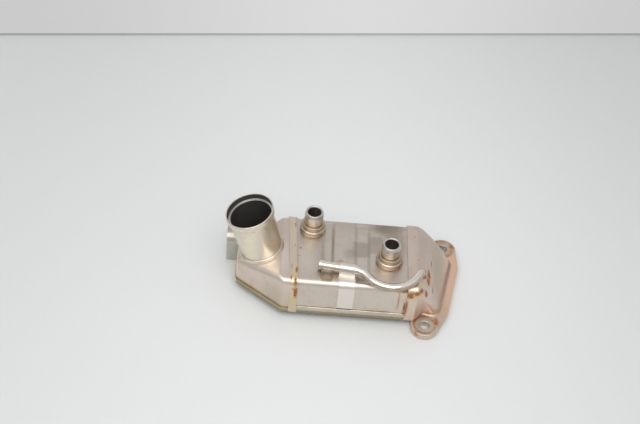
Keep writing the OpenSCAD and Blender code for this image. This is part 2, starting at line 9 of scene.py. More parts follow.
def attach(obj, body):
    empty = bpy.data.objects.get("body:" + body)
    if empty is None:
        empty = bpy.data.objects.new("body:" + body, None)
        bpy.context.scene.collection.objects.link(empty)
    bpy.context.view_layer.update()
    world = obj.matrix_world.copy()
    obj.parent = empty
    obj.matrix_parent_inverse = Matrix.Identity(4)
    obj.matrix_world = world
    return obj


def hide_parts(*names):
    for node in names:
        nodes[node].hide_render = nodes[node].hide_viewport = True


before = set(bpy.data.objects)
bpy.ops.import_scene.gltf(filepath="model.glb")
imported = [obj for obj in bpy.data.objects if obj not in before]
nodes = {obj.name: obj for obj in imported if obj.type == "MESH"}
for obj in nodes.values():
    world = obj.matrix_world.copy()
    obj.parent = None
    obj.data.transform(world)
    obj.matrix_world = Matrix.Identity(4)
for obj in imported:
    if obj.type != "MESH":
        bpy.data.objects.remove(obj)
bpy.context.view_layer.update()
scene = bpy.context.scene

MM = 0.001
# Sizes shared with the solids, in millimetres, in the jacket's own frame
CORE_L, CORE_W, CORE_H = 113.0, 85.0, 42.0
SHEET, BEND, LAP, GAP = 1.5, 6.0, 1.6, 0.1
OUTER_W, OUTER_H = CORE_W + 2 * LAP, CORE_H + LAP
OUTER_R, FOOT_R = BEND + LAP, 1.4
FLANGE_X, FLANGE_Y, FLANGE_T, BOLT_HALF = 139.0, 2.75, 7.0, 51.25
TURN, LEAN = math.radians(11.8), math.radians(15.5)
BEADS = [(27.0, 36.5), (58.5, 71.0)]
BEAD_D = 1.0
NIPPLES = [(16.4, 26.5), (90.1, -8.0)]
SKEW, SEAM, RIM_L, PLATE = math.radians(3.5), 3.3, 8.0, 2.0
UP = (0, 0, 1)


def seam_x(d, y):
    """X of the turned outlet seam, d from the rim's jacket side."""
    return SEAM + d / math.cos(SKEW) - y * math.tan(SKEW)


def at_flange(u, v):
    """X and y of a point u along the turned flange and v across it."""
    return (
        FLANGE_X + u * math.sin(TURN) + v * math.cos(TURN),
        FLANGE_Y + u * math.cos(TURN) - v * math.sin(TURN),
    )


def row(p):
    """A point of the jacket's frame in the row frame, in metres."""
    return Vector(((p[0] - FLANGE_X) * MM, (p[1] - FLANGE_Y) * MM, (p[2] + FLANGE_T) * MM))


def new_object(name, data):
    """An object in the scene."""
    ob = bpy.data.objects.new(name, data)
    scene.collection.objects.link(ob)
    return ob


def add_object(name, shape, metal, replaces=()):
    """A smooth piece from the points and faces of a shape, in place of the nodes that it replaces."""
    mesh = bpy.data.meshes.new(name)
    mesh.from_pydata([row(v) for v in shape[0]], [], shape[1])
    mesh.validate()
    bm = bmesh.new()
    bm.from_mesh(mesh)
    bmesh.ops.remove_doubles(bm, verts=bm.verts, dist=1e-6)
    bmesh.ops.recalc_face_normals(bm, faces=bm.faces)
    bm.to_mesh(mesh)
    bm.free()
    ob = new_object(name, mesh)
    mesh.materials.append(M[metal])
    for f in mesh.polygons:
        f.use_smooth = True
    if replaces:
        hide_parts(*replaces)
    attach(ob, "root")
    return ob


def sharpen(ob, degrees=35.0):
    """Smooth shading that breaks at edges sharper than the given angle."""
    bm = bmesh.new()
    bm.from_mesh(ob.data)
    limit = math.radians(degrees)
    for e in bm.edges:
        e.smooth = len(e.link_faces) == 2 and e.calc_face_angle(0.0) < limit
    bm.to_mesh(ob.data)
    bm.free()


def soften(ob, width, segments=2, degrees=40.0):
    """Rounds the sharp edges of a finished mesh."""
    mod = ob.modifiers.new("edges", "BEVEL")
    mod.width = width * MM
    mod.segments = segments
    mod.limit_method = "ANGLE"
    mod.angle_limit = math.radians(degrees)


DRILL_L = 14.0


def cut(ob, origin, axis, radius, sides=64):
    """Drills a round hole through origin along axis."""
    bm = bmesh.new()
    bmesh.ops.create_cone(
        bm, cap_ends=True, segments=sides, radius1=radius * MM, radius2=radius * MM, depth=DRILL_L * MM
    )
    turn = Vector(UP).rotation_difference(Vector(axis)).to_matrix().to_4x4()
    bm.transform(Matrix.Translation(row(origin)) @ turn)
    cut_with(ob, bm)


def prism(outline, z0, z1):
    """An upright prism over an outline of (x, y) points."""
    n = len(outline)
    verts = [(x, y, z0) for x, y in outline] + [(x, y, z1) for x, y in outline]
    faces = [tuple(range(n)), tuple(range(2 * n - 1, n - 1, -1))]
    faces += [(i, (i + 1) % n, n + (i + 1) % n, n + i) for i in range(n)]
    return verts, faces


def cut_prism(ob, outline, z0, z1):
    """Cuts an upright prism out of a piece."""
    verts, faces = prism(outline, z0, z1)
    bm = bmesh.new()
    corners = [bm.verts.new(row(v)) for v in verts]
    for face in faces:
        bm.faces.new([corners[i] for i in face])
    bmesh.ops.recalc_face_normals(bm, faces=bm.faces)
    cut_with(ob, bm)


def cut_with(ob, bm):
    """Takes a closed mesh out of a piece and frees it."""
    mesh = bpy.data.meshes.new("drill")
    bm.to_mesh(mesh)
    bm.free()
    drill = new_object("drill", mesh)
    mod = ob.modifiers.new("hole", "BOOLEAN")
    mod.operation = "DIFFERENCE"
    mod.solver = "EXACT"
    mod.object = drill
    bpy.context.view_layer.update()
    done = ob.evaluated_get(bpy.context.evaluated_depsgraph_get())
    new = bpy.data.meshes.new_from_object(done)
    ob.modifiers.remove(mod)
    old = ob.data
    ob.data = new
    bpy.data.meshes.remove(old)
    bpy.data.objects.remove(drill)


def flat(rings):
    """The points of all rings in one list."""
    return [p for ring in rings for p in ring]


def quads(count, size, loop=False):
    """Faces between closed rings that follow each other; loop joins the last ring to the first."""
    faces = []
    for k in range(count if loop else count - 1):
        a, b = k * size, ((k + 1) % count) * size
        for i in range(size):
            j = (i + 1) % size
            faces.append((a + i, b + i, b + j, a + j))
    return faces


def section_ring(outer, inner):
    """A sheet's section as one ring: its outer points, then its inner points back."""
    return list(outer) + list(reversed(inner))


def end_faces(station, n):
    """Faces across the thickness of a sheet at one station, with n points on each side."""
    base = station * 2 * n
    return [(base + i, base + i + 1, base + 2 * n - 2 - i, base + 2 * n - 1 - i) for i in range(n - 1)]


def sheet_sweep(stations):
    """A bent sheet through stations of (outer points, inner points)."""
    n = len(stations[0][0])
    verts = flat(section_ring(outer, inner) for outer, inner in stations)
    faces = quads(len(stations), 2 * n) + end_faces(0, n) + end_faces(len(stations) - 1, n)
    return verts, faces


def tube_sweep(outer, inner):
    """A closed tube wall: outer rings forward, inner rings back, joined at both ends."""
    rings = list(outer) + list(reversed(inner))
    return flat(rings), quads(len(rings), len(rings[0]), loop=True)


CORNER_STEPS = 5
# The most of a side that a corner's rounding takes, and the half angle of a corner left as it is
SIDE_SHARE, NEARLY_FLAT = 0.48, math.radians(88)


def rounded(points, radii):
    """A closed outline whose corners are rounded, by one radius each."""
    out = []
    n = len(points)
    for i, radius in enumerate(radii):
        p, q, s = (Vector(points[(i + k) % n]) for k in (-1, 0, 1))
        a, b = (p - q).normalized(), (s - q).normalized()
        half = a.angle(b) / 2
        if half > NEARLY_FLAT:
            out.append(tuple(q))
            continue
        d = min(radius / math.tan(half), SIDE_SHARE * (p - q).length, SIDE_SHARE * (s - q).length)
        c = q + (a + b).normalized() * (d * math.tan(half) / math.sin(half))
        v0, v1 = q + a * d - c, q + b * d - c
        total = v0.angle_signed(v1)
        for k in range(CORNER_STEPS + 1):
            out.append(tuple(c + Matrix.Rotation(-total * (k / CORNER_STEPS), 2) @ v0))
    return out


def lathe(profile, origin, axis, sides=96):
    """Turns a closed (radius, height) outline round an axis."""
    axis = Vector(axis).normalized()
    u = axis.orthogonal().normalized()
    w = axis.cross(u)
    o = Vector(origin)
    rings = []
    for j in range(sides):
        a = 2 * math.pi * j / sides
        d = u * math.cos(a) + w * math.sin(a)
        rings.append([o + d * p[0] + axis * p[1] for p in profile])
    return flat(rings), quads(sides, len(profile), loop=True)


def smoothstep(t):
    """A soft step from 0 to 1 as t goes from 0 to 1."""
    t = min(max(t, 0.0), 1.0)
    return t * t * (3 - 2 * t)


def lerp(a, b, t):
    return a + (b - a) * t


def frange(a, b, step):
    """Even values from a to b, about a step apart."""
    return spaced(a, b, max(1, int(round((b - a) / step))))


def spaced(a, b, steps):
    """Values from a to b in even steps, with both ends."""
    return [lerp(a, b, k / steps) for k in range(steps + 1)]


def quarter(steps):
    """The angles of a quarter turn."""
    return spaced(0.0, math.pi / 2, steps)


def arc(centre, r, a0, a1, steps):
    """Points of an arc from the angle a0 to the angle a1."""
    return [(centre[0] + r * math.cos(a), centre[1] + r * math.sin(a)) for a in spaced(a0, a1, steps)]


# Materials
def material(name):
    """A new material, its nodes and its shader."""
    mat = bpy.data.materials.new(name)
    mat.use_nodes = True
    tree = mat.node_tree
    tree.nodes.clear()
    out = tree.nodes.new("ShaderNodeOutputMaterial")
    bsdf = tree.nodes.new("ShaderNodeBsdfPrincipled")
    tree.links.new(bsdf.outputs[0], out.inputs[0])
    return mat, Nodes(tree), bsdf


class Nodes:
    """Short calls for node trees."""

    def __init__(self, tree):
        self.tree = tree
        self.position = self.new("ShaderNodeTexCoord").outputs["Object"]

    def new(self, kind, **values):
        node = self.tree.nodes.new(kind)
        for key, value in values.items():
            setattr(node, key, value)
        return node

    def link(self, a, b):
        self.tree.links.new(a, b)

    def put(self, socket, value):
        if isinstance(value, bpy.types.NodeSocket):
            self.link(value, socket)
        else:
            socket.default_value = value

    def math(self, kind, a, b=0.0, clamp=False):
        node = self.new("ShaderNodeMath", operation=kind, use_clamp=clamp)
        self.put(node.inputs[0], a)
        self.put(node.inputs[1], b)
        return node.outputs[0]

    def ramp(self, value, lo, hi, out_lo=0.0, out_hi=1.0):
        node = self.new("ShaderNodeMapRange", interpolation_type="SMOOTHSTEP")
        self.put(node.inputs[0], value)
        for k, v in zip((1, 2, 3, 4), (lo, hi, out_lo, out_hi)):
            node.inputs[k].default_value = v
        return node.outputs[0]

    def stretch(self, scale, turn=(0, 0, 0)):
        node = self.new("ShaderNodeMapping")
        self.link(self.position, node.inputs[0])
        node.inputs["Rotation"].default_value = turn
        node.inputs["Scale"].default_value = scale
        return node.outputs[0]

    def noise(self, scale, detail=4.0, rough=0.55, vector=None, warp=0.0):
        node = self.new("ShaderNodeTexNoise")
        self.link(vector or self.position, node.inputs["Vector"])
        for key, value in (("Scale", scale), ("Detail", detail), ("Roughness", rough), ("Distortion", warp)):
            node.inputs[key].default_value = value
        return node.outputs[0]

    def mix(self, factor, a, b):
        node = self.new("ShaderNodeMix", data_type="RGBA")
        self.put(node.inputs[0], factor)
        for socket, value in ((node.inputs[6], a), (node.inputs[7], b)):
            self.put(socket, value if isinstance(value, bpy.types.NodeSocket) else (*value, 1.0))
        return node.outputs[2]

    def vector(self, kind, a, b=(0, 0, 0)):
        node = self.new("ShaderNodeVectorMath", operation=kind)
        self.put(node.inputs[0], a)
        self.put(node.inputs[1], b)
        return node.outputs["Value" if kind in ("LENGTH", "DOT_PRODUCT") else "Vector"]

    def blend(self, factor, a, b):
        node = self.new("ShaderNodeMixShader")
        for socket, value in zip(node.inputs, (factor, a, b)):
            self.link(value, socket)
        return node.outputs[0]

    def away(self, centre, radii):
        """The distance from a point of the jacket's frame in units of the radii, as a vector."""
        away = self.vector("SUBTRACT", self.position, row(centre))
        return self.vector("DIVIDE", away, [r * MM for r in radii])

    def spot(self, centre, radii, rag, inner):
        """1 inside a ragged ellipsoid, 0 outside."""
        size = self.vector("LENGTH", self.away(centre, radii))
        return self.ramp(self.math("ADD", size, rag), inner, 1.0, 1.0, 0.0)

    def block(self, centre, radii, rag, inner):
        """1 inside a ragged box, 0 outside."""
        parts = self.new("ShaderNodeSeparateXYZ")
        self.link(self.vector("ABSOLUTE", self.away(centre, radii)), parts.inputs[0])
        size = self.math("MAXIMUM", parts.outputs[0], parts.outputs[1])
        size = self.math("MAXIMUM", size, parts.outputs[2])
        return self.ramp(self.math("ADD", size, rag), inner, 1.0, 1.0, 0.0)

    def ring(self, centre, radii, rag):
        """1 between two radii round an upright axis, 0 elsewhere."""
        size = self.vector("LENGTH", self.away(centre, (1.0, 1.0, 1e4)))
        size = self.math("ADD", size, rag)
        inside = self.ramp(size, radii[0] - 0.5, radii[0] + 0.3)
        return self.math("MULTIPLY", inside, self.ramp(size, radii[1] - 0.3, radii[1] + 0.7, 1.0, 0.0))

    def band(self, limits, rag):
        """1 between two distances from the outlet seam, 0 elsewhere."""
        square = (math.cos(SKEW), math.sin(SKEW), 0)
        size = self.vector("DOT_PRODUCT", self.away((SEAM, 0, 0), (1.0, 1.0, 1.0)), square)
        size = self.math("ADD", size, rag)
        inside = self.ramp(size, limits[0] - 0.5, limits[0] + 0.5)
        return self.math("MULTIPLY", inside, self.ramp(size, limits[1] - 0.5, limits[1] + 0.5, 1.0, 0.0))

    def tint(self, shape, centre, radii, rag):
        """1 where a tint of the named shape lies; rings and bands are worn thin in places."""
        if shape == "block":
            return self.block(centre, radii, rag, 0.7)
        if shape == "spot":
            return self.spot(centre, radii, rag, 0.2)
        whole = self.ring(centre, radii, rag) if shape == "ring" else self.band(radii, rag)
        worn = self.ramp(self.noise(WEAR, 5.0, 0.6), 0.38, 0.58, 0.25, 1.0)
        return self.math("MULTIPLY", whole, worn)


RUST_DARK = (0.19, 0.060, 0.018)
RUST_MID = (0.42, 0.175, 0.055)
RUST_PALE = (0.68, 0.43, 0.24)
# How fine each kind of mark is, in marks a metre
GRAIN, STAIN, HAIR_ALONG, HAIR_ACROSS = 2200.0, 75.0, 420.0, 380.0
PATCH, CRUMB, SPECK, FLAKE = 260.0, 950.0, 330.0, 700.0
DULL, WAVE, WEAR = 120.0, 60.0, 150.0
# Size of the rust and of the pale halo round it, in radii of its place
RUST_SIZE, HALO_SIZE = 1.15, 1.9


def bare_color(n, base, second, cloud, streak, stain):
    """Cloudy colour with grain, brown stains and bright hair scratches."""
    color = n.mix(n.ramp(n.noise(cloud, 4.0, 0.55, warp=0.4), 0.3, 0.7), base, second)
    color = n.mix(streak, color, tuple(c * 0.6 for c in base))
    color = n.mix(stain, color, (base[0] * 0.74, base[1] * 0.68, base[2] * 0.58))
    along = n.noise(HAIR_ALONG, 2.0, 0.5, n.stretch((1.0, 0.02, 1.0), (0.3, 0.2, 0.6)))
    across = n.noise(HAIR_ACROSS, 2.0, 0.5, n.stretch((0.02, 1.0, 1.0), (0.2, 0.4, -0.3)))
    hair = n.ramp(n.math("MAXIMUM", along, across), 0.70, 0.76)
    return n.mix(n.math("MULTIPLY", hair, 0.25), color, tuple(min(1.0, c * 1.25) for c in base))


def rusted(n, color, rusts, patchy, speckle):
    """The colour with pale halos where rust lies, and the mask of the rust or None."""
    crumbs = n.math("SUBTRACT", n.noise(CRUMB, 6.0, 0.7), 0.5)
    ragged = n.math("ADD", n.math("MULTIPLY", patchy, 1.5), n.math("MULTIPLY", crumbs, 1.9))
    masks = []
    for centre, radii, amount in rusts:
        halo = n.spot(centre, [r * HALO_SIZE for r in radii], n.math("MULTIPLY", ragged, 0.5), 0.2)
        color = n.mix(n.math("MULTIPLY", halo, 0.8 * amount), color, RUST_PALE)
        mask = n.spot(centre, [r * RUST_SIZE for r in radii], ragged, 0.45)
        masks.append(n.math("MULTIPLY", mask, amount))
    if speckle > 0:
        masks.append(n.ramp(n.noise(SPECK, 3.0, 0.6), 0.70, 0.76, 0.0, speckle))
    rust = None
    for mask in masks:
        rust = mask if rust is None else n.math("MAXIMUM", rust, mask)
    return color, rust


def steel(
    name, base, second, rough=0.3, grain=(1, 1, 1), tints=(), rusts=(), bump=0.05, cloud=30.0, speckle=0.0,
    streak=0.08, metal=1.0, stains=0.35,
):
    """Satin steel; tints and rust sit at places of the jacket's frame, and some tints are painted shade,
    reflections and highlights.
    """
    mat, n, bsdf = material(name)
    fine = n.noise(GRAIN, 3.0, 0.7, n.stretch(grain))
    stain = n.ramp(n.noise(STAIN, 6.0, 0.65, warp=1.0), 0.50, 0.74, 0.0, stains)
    color = bare_color(n, base, second, cloud, n.ramp(fine, 0.35, 0.75, 0.0, streak), stain)
    patchy = n.math("SUBTRACT", n.noise(PATCH, 4.0, 0.6), 0.5)
    soft = n.math("MULTIPLY", patchy, 0.5)
    for shape, centre, radii, shade, amount in tints:
        color = n.mix(n.math("MULTIPLY", n.tint(shape, centre, radii, soft), amount), color, shade)
    color, rust = rusted(n, color, rusts, patchy, speckle)
    dull = n.ramp(n.noise(DULL, 4.0, 0.6), 0.3, 0.7, rough - 0.05, rough + 0.07)
    dull = n.math("ADD", dull, n.math("MULTIPLY", stain, 0.12))
    height = n.math("ADD", n.math("MULTIPLY", fine, 0.015), n.noise(WAVE, 3.0, 0.5))
    if rust is None:
        bsdf.inputs["Metallic"].default_value = metal
    else:
        flakes = n.mix(n.ramp(n.noise(FLAKE, 4.0, 0.6), 0.35, 0.65), RUST_DARK, RUST_MID)
        color = n.mix(rust, color, flakes)
        n.link(n.ramp(rust, 0.1, 0.8, metal, 0.1), bsdf.inputs["Metallic"])
        dull = n.math("ADD", dull, n.math("MULTIPLY", rust, 0.45), clamp=True)
        height = n.math("ADD", height, n.math("MULTIPLY", rust, 0.6))
    n.link(color, bsdf.inputs["Base Color"])
    n.link(dull, bsdf.inputs["Roughness"])
    node = n.new("ShaderNodeBump")
    node.inputs["Strength"].default_value = bump
    node.inputs["Distance"].default_value = 0.6 * MM
    n.link(height, node.inputs["Height"])
    n.link(node.outputs[0], bsdf.inputs["Normal"])
    return mat


ALONG = (0.12, 1.0, 1.0)
ACROSS = (1.0, 0.15, 1.0)
# Painted shade: the colour of the dark reflections and the shaded bead flanks on the jacket's top
PAINTED_SHADE = (0.46, 0.40, 0.34)
STRAW = (0.78, 0.66, 0.42)
CREAM = (0.80, 0.72, 0.58)
# Painted shade along the bottom edges of the tray and the cover
PAINTED_FOOT_SHADE = (0.30, 0.26, 0.13)
PINK = (0.80, 0.52, 0.37)
BROWN = (0.34, 0.22, 0.15)
BOLT_F, BOLT_B = ((*at_flange(s * BOLT_HALF, 0), 0) for s in (-1, 1))
TOP = CORE_H
# Half width and strength of the shade along each edge of the beads
BEAD_SHADES = [(2.2, 0.55), (2.2, 0.65), (2.0, 0.35), (2.0, 0.45)]
M = {
    "jacket": steel(
        "jacket_steel", (0.66, 0.59, 0.52), (0.71, 0.64, 0.57), 0.38, ALONG, bump=0.03,
        tints=[
            # Painted shade: the far half of the top is darker, a painted reflection
            ("spot", (56, 42, TOP), (75, 24, 9), (0.55, 0.48, 0.41), 0.65),
            # Painted reflection: these two dark patches on the middle of the top
            ("block", (64, 5, TOP), (9.5, 11.5, 4), PAINTED_SHADE, 0.75),
            ("spot", (55, -2, TOP), (11, 11, 4), PAINTED_SHADE, 0.7),
            ("spot", (12, -8, TOP), (13, 30, 6), (0.80, 0.72, 0.63), 0.7),
            # Painted reflection: these four dark patches on the right half of the top
            ("spot", (89, 36, TOP), (22, 17, 8), (0.34, 0.28, 0.23), 0.95),
            ("block", (77, 11, TOP), (8, 13, 4), PAINTED_SHADE, 0.7),
            ("spot", (78, 17, TOP), (13, 9, 4), PAINTED_SHADE, 0.5),
            ("spot", (96, 10, TOP), (16, 44, 6), (0.42, 0.36, 0.29), 0.8),
            # Painted shade along the flanks of the beads
            *[
                ("block", (x, 0, TOP - BEAD_D), (half, 37, 3), PAINTED_SHADE, amount)
                for x, (half, amount) in zip(flat(BEADS), BEAD_SHADES)
            ],
            ("ring", (*NIPPLES[0], TOP), (12.0, 13.0), BROWN, 0.5),
            ("ring", (*NIPPLES[1], TOP), (12.0, 13.2), BROWN, 0.75),
            ("spot", (103, -42, 34), (10, 4, 14), (0.74, 0.60, 0.46), 0.6),
        ],
        rusts=[
            ((5.8, 1.1, TOP), (0.9, 1.3, 1), 0.8), ((5.2, -9, TOP), (0.7, 1.0, 1), 0.6),
            ((99.9, -16.2, TOP), (1.6, 1.6, 2), 0.9), ((104.5, -41.3, 39.6), (6, 2.5, 2), 0.75),
            ((100.6, -42.5, 26), (0.8, 1.2, 12), 0.45), ((106.9, -42.5, 17), (1.3, 1.2, 8.5), 0.9),
            ((43.5, -12.5, TOP), (3.5, 1.2, 1), 0.45),
        ],
    ),
    "tray": steel(
        "tray_steel", (0.62, 0.57, 0.50), (0.57, 0.52, 0.45), 0.28, ALONG,
        tints=[
            # Painted shade: the lower part of the tray is darker
            ("block", (54, 0, 0), (80, 80, 5.2), PAINTED_FOOT_SHADE, 0.85),
            ("spot", (14, -44, 8.2), (5, 3, 1.6), (0.34, 0.44, 0.34), 0.7),
        ],
    ),
    "rim": steel(
        "rim_steel", (0.76, 0.66, 0.56), (0.72, 0.63, 0.54), 0.32, ACROSS,
        tints=[
            ("band", None, (-5.2, -2.4), STRAW, 0.8),
            ("band", None, (-1.2, 0.4), (0.44, 0.38, 0.29), 0.6),
            ("spot", (1, -36, TOP), (5, 14, 9), (0.82, 0.62, 0.42), 0.7),
            ("spot", (1, -44, 16), (9, 4, 30), (0.66, 0.55, 0.35), 0.8),
        ],
        rusts=[
            ((3.4, -28.5, 43.4), (1.1, 3.4, 2), 1.0), ((-1.2, -38.6, 43.2), (1.1, 2.6, 3), 1.0),
            ((3.0, -41.6, 39.6), (1.6, 4.5, 6), 1.0), ((3.8, -44.1, 30), (1.7, 1.5, 8), 1.0),
            ((1.6, -44.1, 33.5), (1.5, 1.5, 2.4), 0.5), ((-0.3, 29.6, 43.6), (0.7, 3, 1), 0.7),
            ((0.5, 2.5, 43.6), (0.6, 1.6, 1), 0.6), ((-1.5, -24, 43.6), (0.5, 3, 1), 0.6),
        ],
    ),
    "core": steel("core_steel", (0.34, 0.32, 0.30), (0.42, 0.40, 0.37), 0.45),
    "header_out": steel(
        "outlet_header_steel", (0.74, 0.63, 0.55), (0.70, 0.60, 0.52), 0.36, bump=0.03,
        tints=[
            ("block", (-56, 0, 14), (4.5, 22, 20), CREAM, 0.8),
            # Painted shade: the slanted front face is darker
            ("spot", (-22, -38, 16), (34, 12, 24), (0.56, 0.50, 0.41), 0.75),
            ("spot", (-8, -42, 8), (10, 6, 14), (0.66, 0.55, 0.42), 0.5),
            # Painted light: the top near the rim is lighter
            ("spot", (-14, -14, 43), (16, 36, 9), (0.86, 0.77, 0.70), 0.75),
        ],
    ),
    "header_in": steel(
        "inlet_header_steel", (0.72, 0.60, 0.52), (0.76, 0.64, 0.56), 0.36, bump=0.04,
        tints=[
            # Painted shade: the right slope is darker
            ("spot", (140, 4, 18), (17, 60, 26), (0.55, 0.46, 0.36), 0.8),
            ("spot", (122, -34, TOP), (9, 9, 6), (0.84, 0.70, 0.46), 0.7),
            ("spot", (113, -44, 34), (10, 5, 13), (0.76, 0.62, 0.46), 0.7),
            ("block", (140, 0, 0.4), (60, 90, 2.6), PINK, 0.45),
            ("spot", (132.5, 3.4, 29.8), (0.9, 5.5, 2.4), (0.16, 0.13, 0.11), 0.9),
            ("spot", (133.8, -24.3, 24.2), (0.9, 6, 2.6), (0.16, 0.13, 0.11), 0.9),
        ],
        rusts=[
            ((129.4, -13, 32), (2.2, 6.5, 3.6), 1.0), ((128.4, -21.5, 32.6), (2.6, 4.5, 4), 0.9),
            ((110.8, -43.8, 36.2), (5.2, 2.6, 4.0), 0.9), ((116.0, -43.4, 39.0), (3.6, 2.6, 2.0), 1.0),
            ((120.8, -40.6, 40.0), (3.4, 3.4, 2.0), 1.0), ((125.8, -38.2, 34), (1.8, 2.6, 4.4), 1.0),
            ((108.4, -44.1, 18), (1.4, 1.4, 10), 0.85), ((115.1, 24.8, 43.6), (0.8, 1.1, 1), 0.6),
            ((118, -4, 43.6), (0.7, 0.9, 1), 0.5),
        ],
    ),
    "cover": steel(
        "cover_steel", (0.34, 0.30, 0.18), (0.42, 0.37, 0.24), 0.34,
        tints=[
            # Painted shade: the lower edge of the cover is darker
            ("block", (-30, 0, 0), (60, 80, 2.2), PAINTED_FOOT_SHADE, 0.8),
            ("block", (-57, 0, 3), (4, 24, 6), CREAM, 0.8),
        ],
    ),
    "outlet": steel(
        "outlet_steel", (0.79, 0.73, 0.62), (0.74, 0.68, 0.57), 0.30, (1, 1, 0.15), bump=0.03,
        tints=[
            # Painted highlight: a pale streak down the front left of the tube
            ("spot", (-42, -17, 58), (9, 9, 34), (0.86, 0.80, 0.60), 0.6),
            # Painted shade: the right side of the tube, brown lower down and olive near the mouth
            ("spot", (-14, -6, 56), (12, 20, 24), (0.76, 0.63, 0.49), 0.6),
            ("spot", (-20, 0, 80), (9, 30, 16), (0.60, 0.56, 0.43), 0.5),
        ],
    ),
    # Painted highlight: a lighter copy of the tube's steel for the ledge inside the mouth
    "ledge_highlight": steel("outlet_ledge", (0.90, 0.87, 0.82), (0.86, 0.82, 0.76), 0.40, bump=0.02),
    "soot": steel("outlet_soot", (0.050, 0.045, 0.044), (0.075, 0.068, 0.064), 0.6, metal=0.2, bump=0.2),
    "bracket": steel("bracket_steel", (0.54, 0.52, 0.45), (0.60, 0.58, 0.51), 0.30),
    "flange": steel(
        "flange_steel", (0.66, 0.55, 0.45), (0.72, 0.61, 0.51), 0.40, bump=0.10, speckle=0.25,
        tints=[
            ("block", (161, 8, 0), (13, 46, 9), (0.90, 0.60, 0.44), 0.95),
            ("spot", (146, -28, 0), (12, 14, 6), PINK, 0.7),
            ("ring", BOLT_F, (9.0, 11.0), (0.52, 0.27, 0.13), 0.85),
            ("ring", BOLT_F, (0.0, 8.6), (0.66, 0.62, 0.57), 0.8),
            ("ring", BOLT_B, (8.6, 11.6), (0.50, 0.27, 0.14), 0.75),
            ("ring", BOLT_B, (0.0, 8.0), (0.44, 0.40, 0.36), 0.7),
        ],
        rusts=[
            ((139.8, -43.2, 0), (2.6, 4.2, 1.5), 0.9), ((130.5, -36.2, 0), (3.6, 1.8, 1.5), 0.8),
            ((159.0, 57.0, 0), (2.6, 4, 1.5), 0.9), ((143, 63, 0), (4, 2, 2), 0.7),
            ((119.5, -58, -2), (3, 3, 3), 0.5),
        ],
    ),
    "collar": steel(
        "collar_steel", (0.56, 0.46, 0.36), (0.50, 0.41, 0.31), 0.30,
        tints=[("spot", (16.4, 14, 45), (16, 9, 9), (0.38, 0.30, 0.23), 0.7)],
        rusts=[((99.8, -16.0, 43), (1.6, 1.6, 2.2), 0.9)],
    ),
    "nipple": steel(
        "nipple_steel", (0.60, 0.57, 0.53), (0.65, 0.61, 0.57), 0.32, (1, 1, 0.1),
        tints=[("block", (50, 0, 54), (90, 60, 5.5), (0.62, 0.49, 0.34), 0.7)],
    ),
    "pipe": steel(
        "pipe_steel", (0.80, 0.72, 0.65), (0.76, 0.68, 0.60), 0.20, ALONG, bump=0.02,
        tints=[
            # Painted shade: the underside of the pipe is darker
            ("block", (75, -35, 43.6), (70, 60, 7.6), (0.42, 0.34, 0.24), 0.9),
            ("spot", (34, -25, 48), (12, 7, 7), (0.66, 0.56, 0.38), 0.6),
            ("spot", (61, -30, 48), (6, 7, 7), (0.60, 0.55, 0.46), 0.7),
            # Painted highlight: the top of the pipe is lighter
            ("block", (75, -35, 53.4), (70, 60, 2.8), (0.90, 0.85, 0.78), 0.6),
        ],
        rusts=[((41, -24, 50), (2.0, 2.5, 2), 0.5)],
    ),
    "clip": steel(
        "clip_steel", (0.82, 0.77, 0.71), (0.78, 0.73, 0.66), 0.32, streak=0.03, bump=0.02, stains=0.15,
        # Painted shade: the lower front of the hoop round the pipe is darker
        tints=[("block", (52, -32, 49), (14, 3.4, 4), (0.54, 0.50, 0.44), 0.85)],
    ),
    "weld": steel(
        "weld_steel", (0.64, 0.52, 0.43), (0.56, 0.45, 0.35), 0.50, bump=0.2, cloud=160.0, speckle=0.4,
    ),
}


# Jacket: a bent sheet with two soft beads across its top
ARC_STEPS = 10
# Steps of a section up its front, over its top and down its back
JACKET_STEPS, HOOD_STEPS = (8, 44, 1), (6, 24, 6)
# Width of a bead's soft flank, and where its ends start and how far they run out
BEAD_SOFT, BEAD_END, BEAD_RUN = 2.6, 3.5, 4.0
JACKET_STEP, NIPPLE_HOLE_R = 0.65, 7.7


def dome_path(front, back, z1, r, steps):
    """Points (y, z) of a U-shaped section from the front foot over the top to the back foot."""
    bend = quarter(ARC_STEPS)[1:-1]
    pts = [(front, z) for z in spaced(SHEET, z1 - r, steps[0])]
    pts += [(front + r - r * math.cos(a), z1 - r + r * math.sin(a)) for a in bend]
    pts += [(y, z1) for y in spaced(front + r, back - r, steps[1])]
    pts += [(back - r + r * math.sin(a), z1 - r + r * math.cos(a)) for a in bend]
    return pts + [(back, z) for z in spaced(z1 - r, SHEET, steps[2])]


def bead_depth(x, y):
    """Depth of the pressed beads, with soft flanks and ends that run out before the bends."""
    soft, depth = BEAD_SOFT, 0.0
    for x0, x1 in BEADS:
        flank = smoothstep((x - x0 + soft / 2) / soft) * smoothstep((x1 - x + soft / 2) / soft)
        depth = max(depth, BEAD_D * flank)
    return depth * smoothstep((CORE_W / 2 - BEAD_END - abs(y)) / BEAD_RUN)


def jacket():
    half, low = CORE_W / 2, CORE_H - SHEET
    outer = dome_path(-half, half, CORE_H, BEND, JACKET_STEPS)
    inner = dome_path(SHEET - half, half - SHEET, low, BEND - SHEET, JACKET_STEPS)
    stations = []
    for x in frange(0, CORE_L, JACKET_STEP):
        stations.append((
            [(max(x, seam_x(0, y)), y, min(z, CORE_H - bead_depth(x, y))) for y, z in outer],
            [(max(x, seam_x(0, y)), y, min(z, low - bead_depth(x, y))) for y, z in inner],
        ))
    ob = add_object("jacket_skin", sheet_sweep(stations), "jacket", ["jacket_shell"])
    for x, y in NIPPLES:
        cut(ob, (x, y, CORE_H), UP, NIPPLE_HOLE_R)
    sharpen(ob)


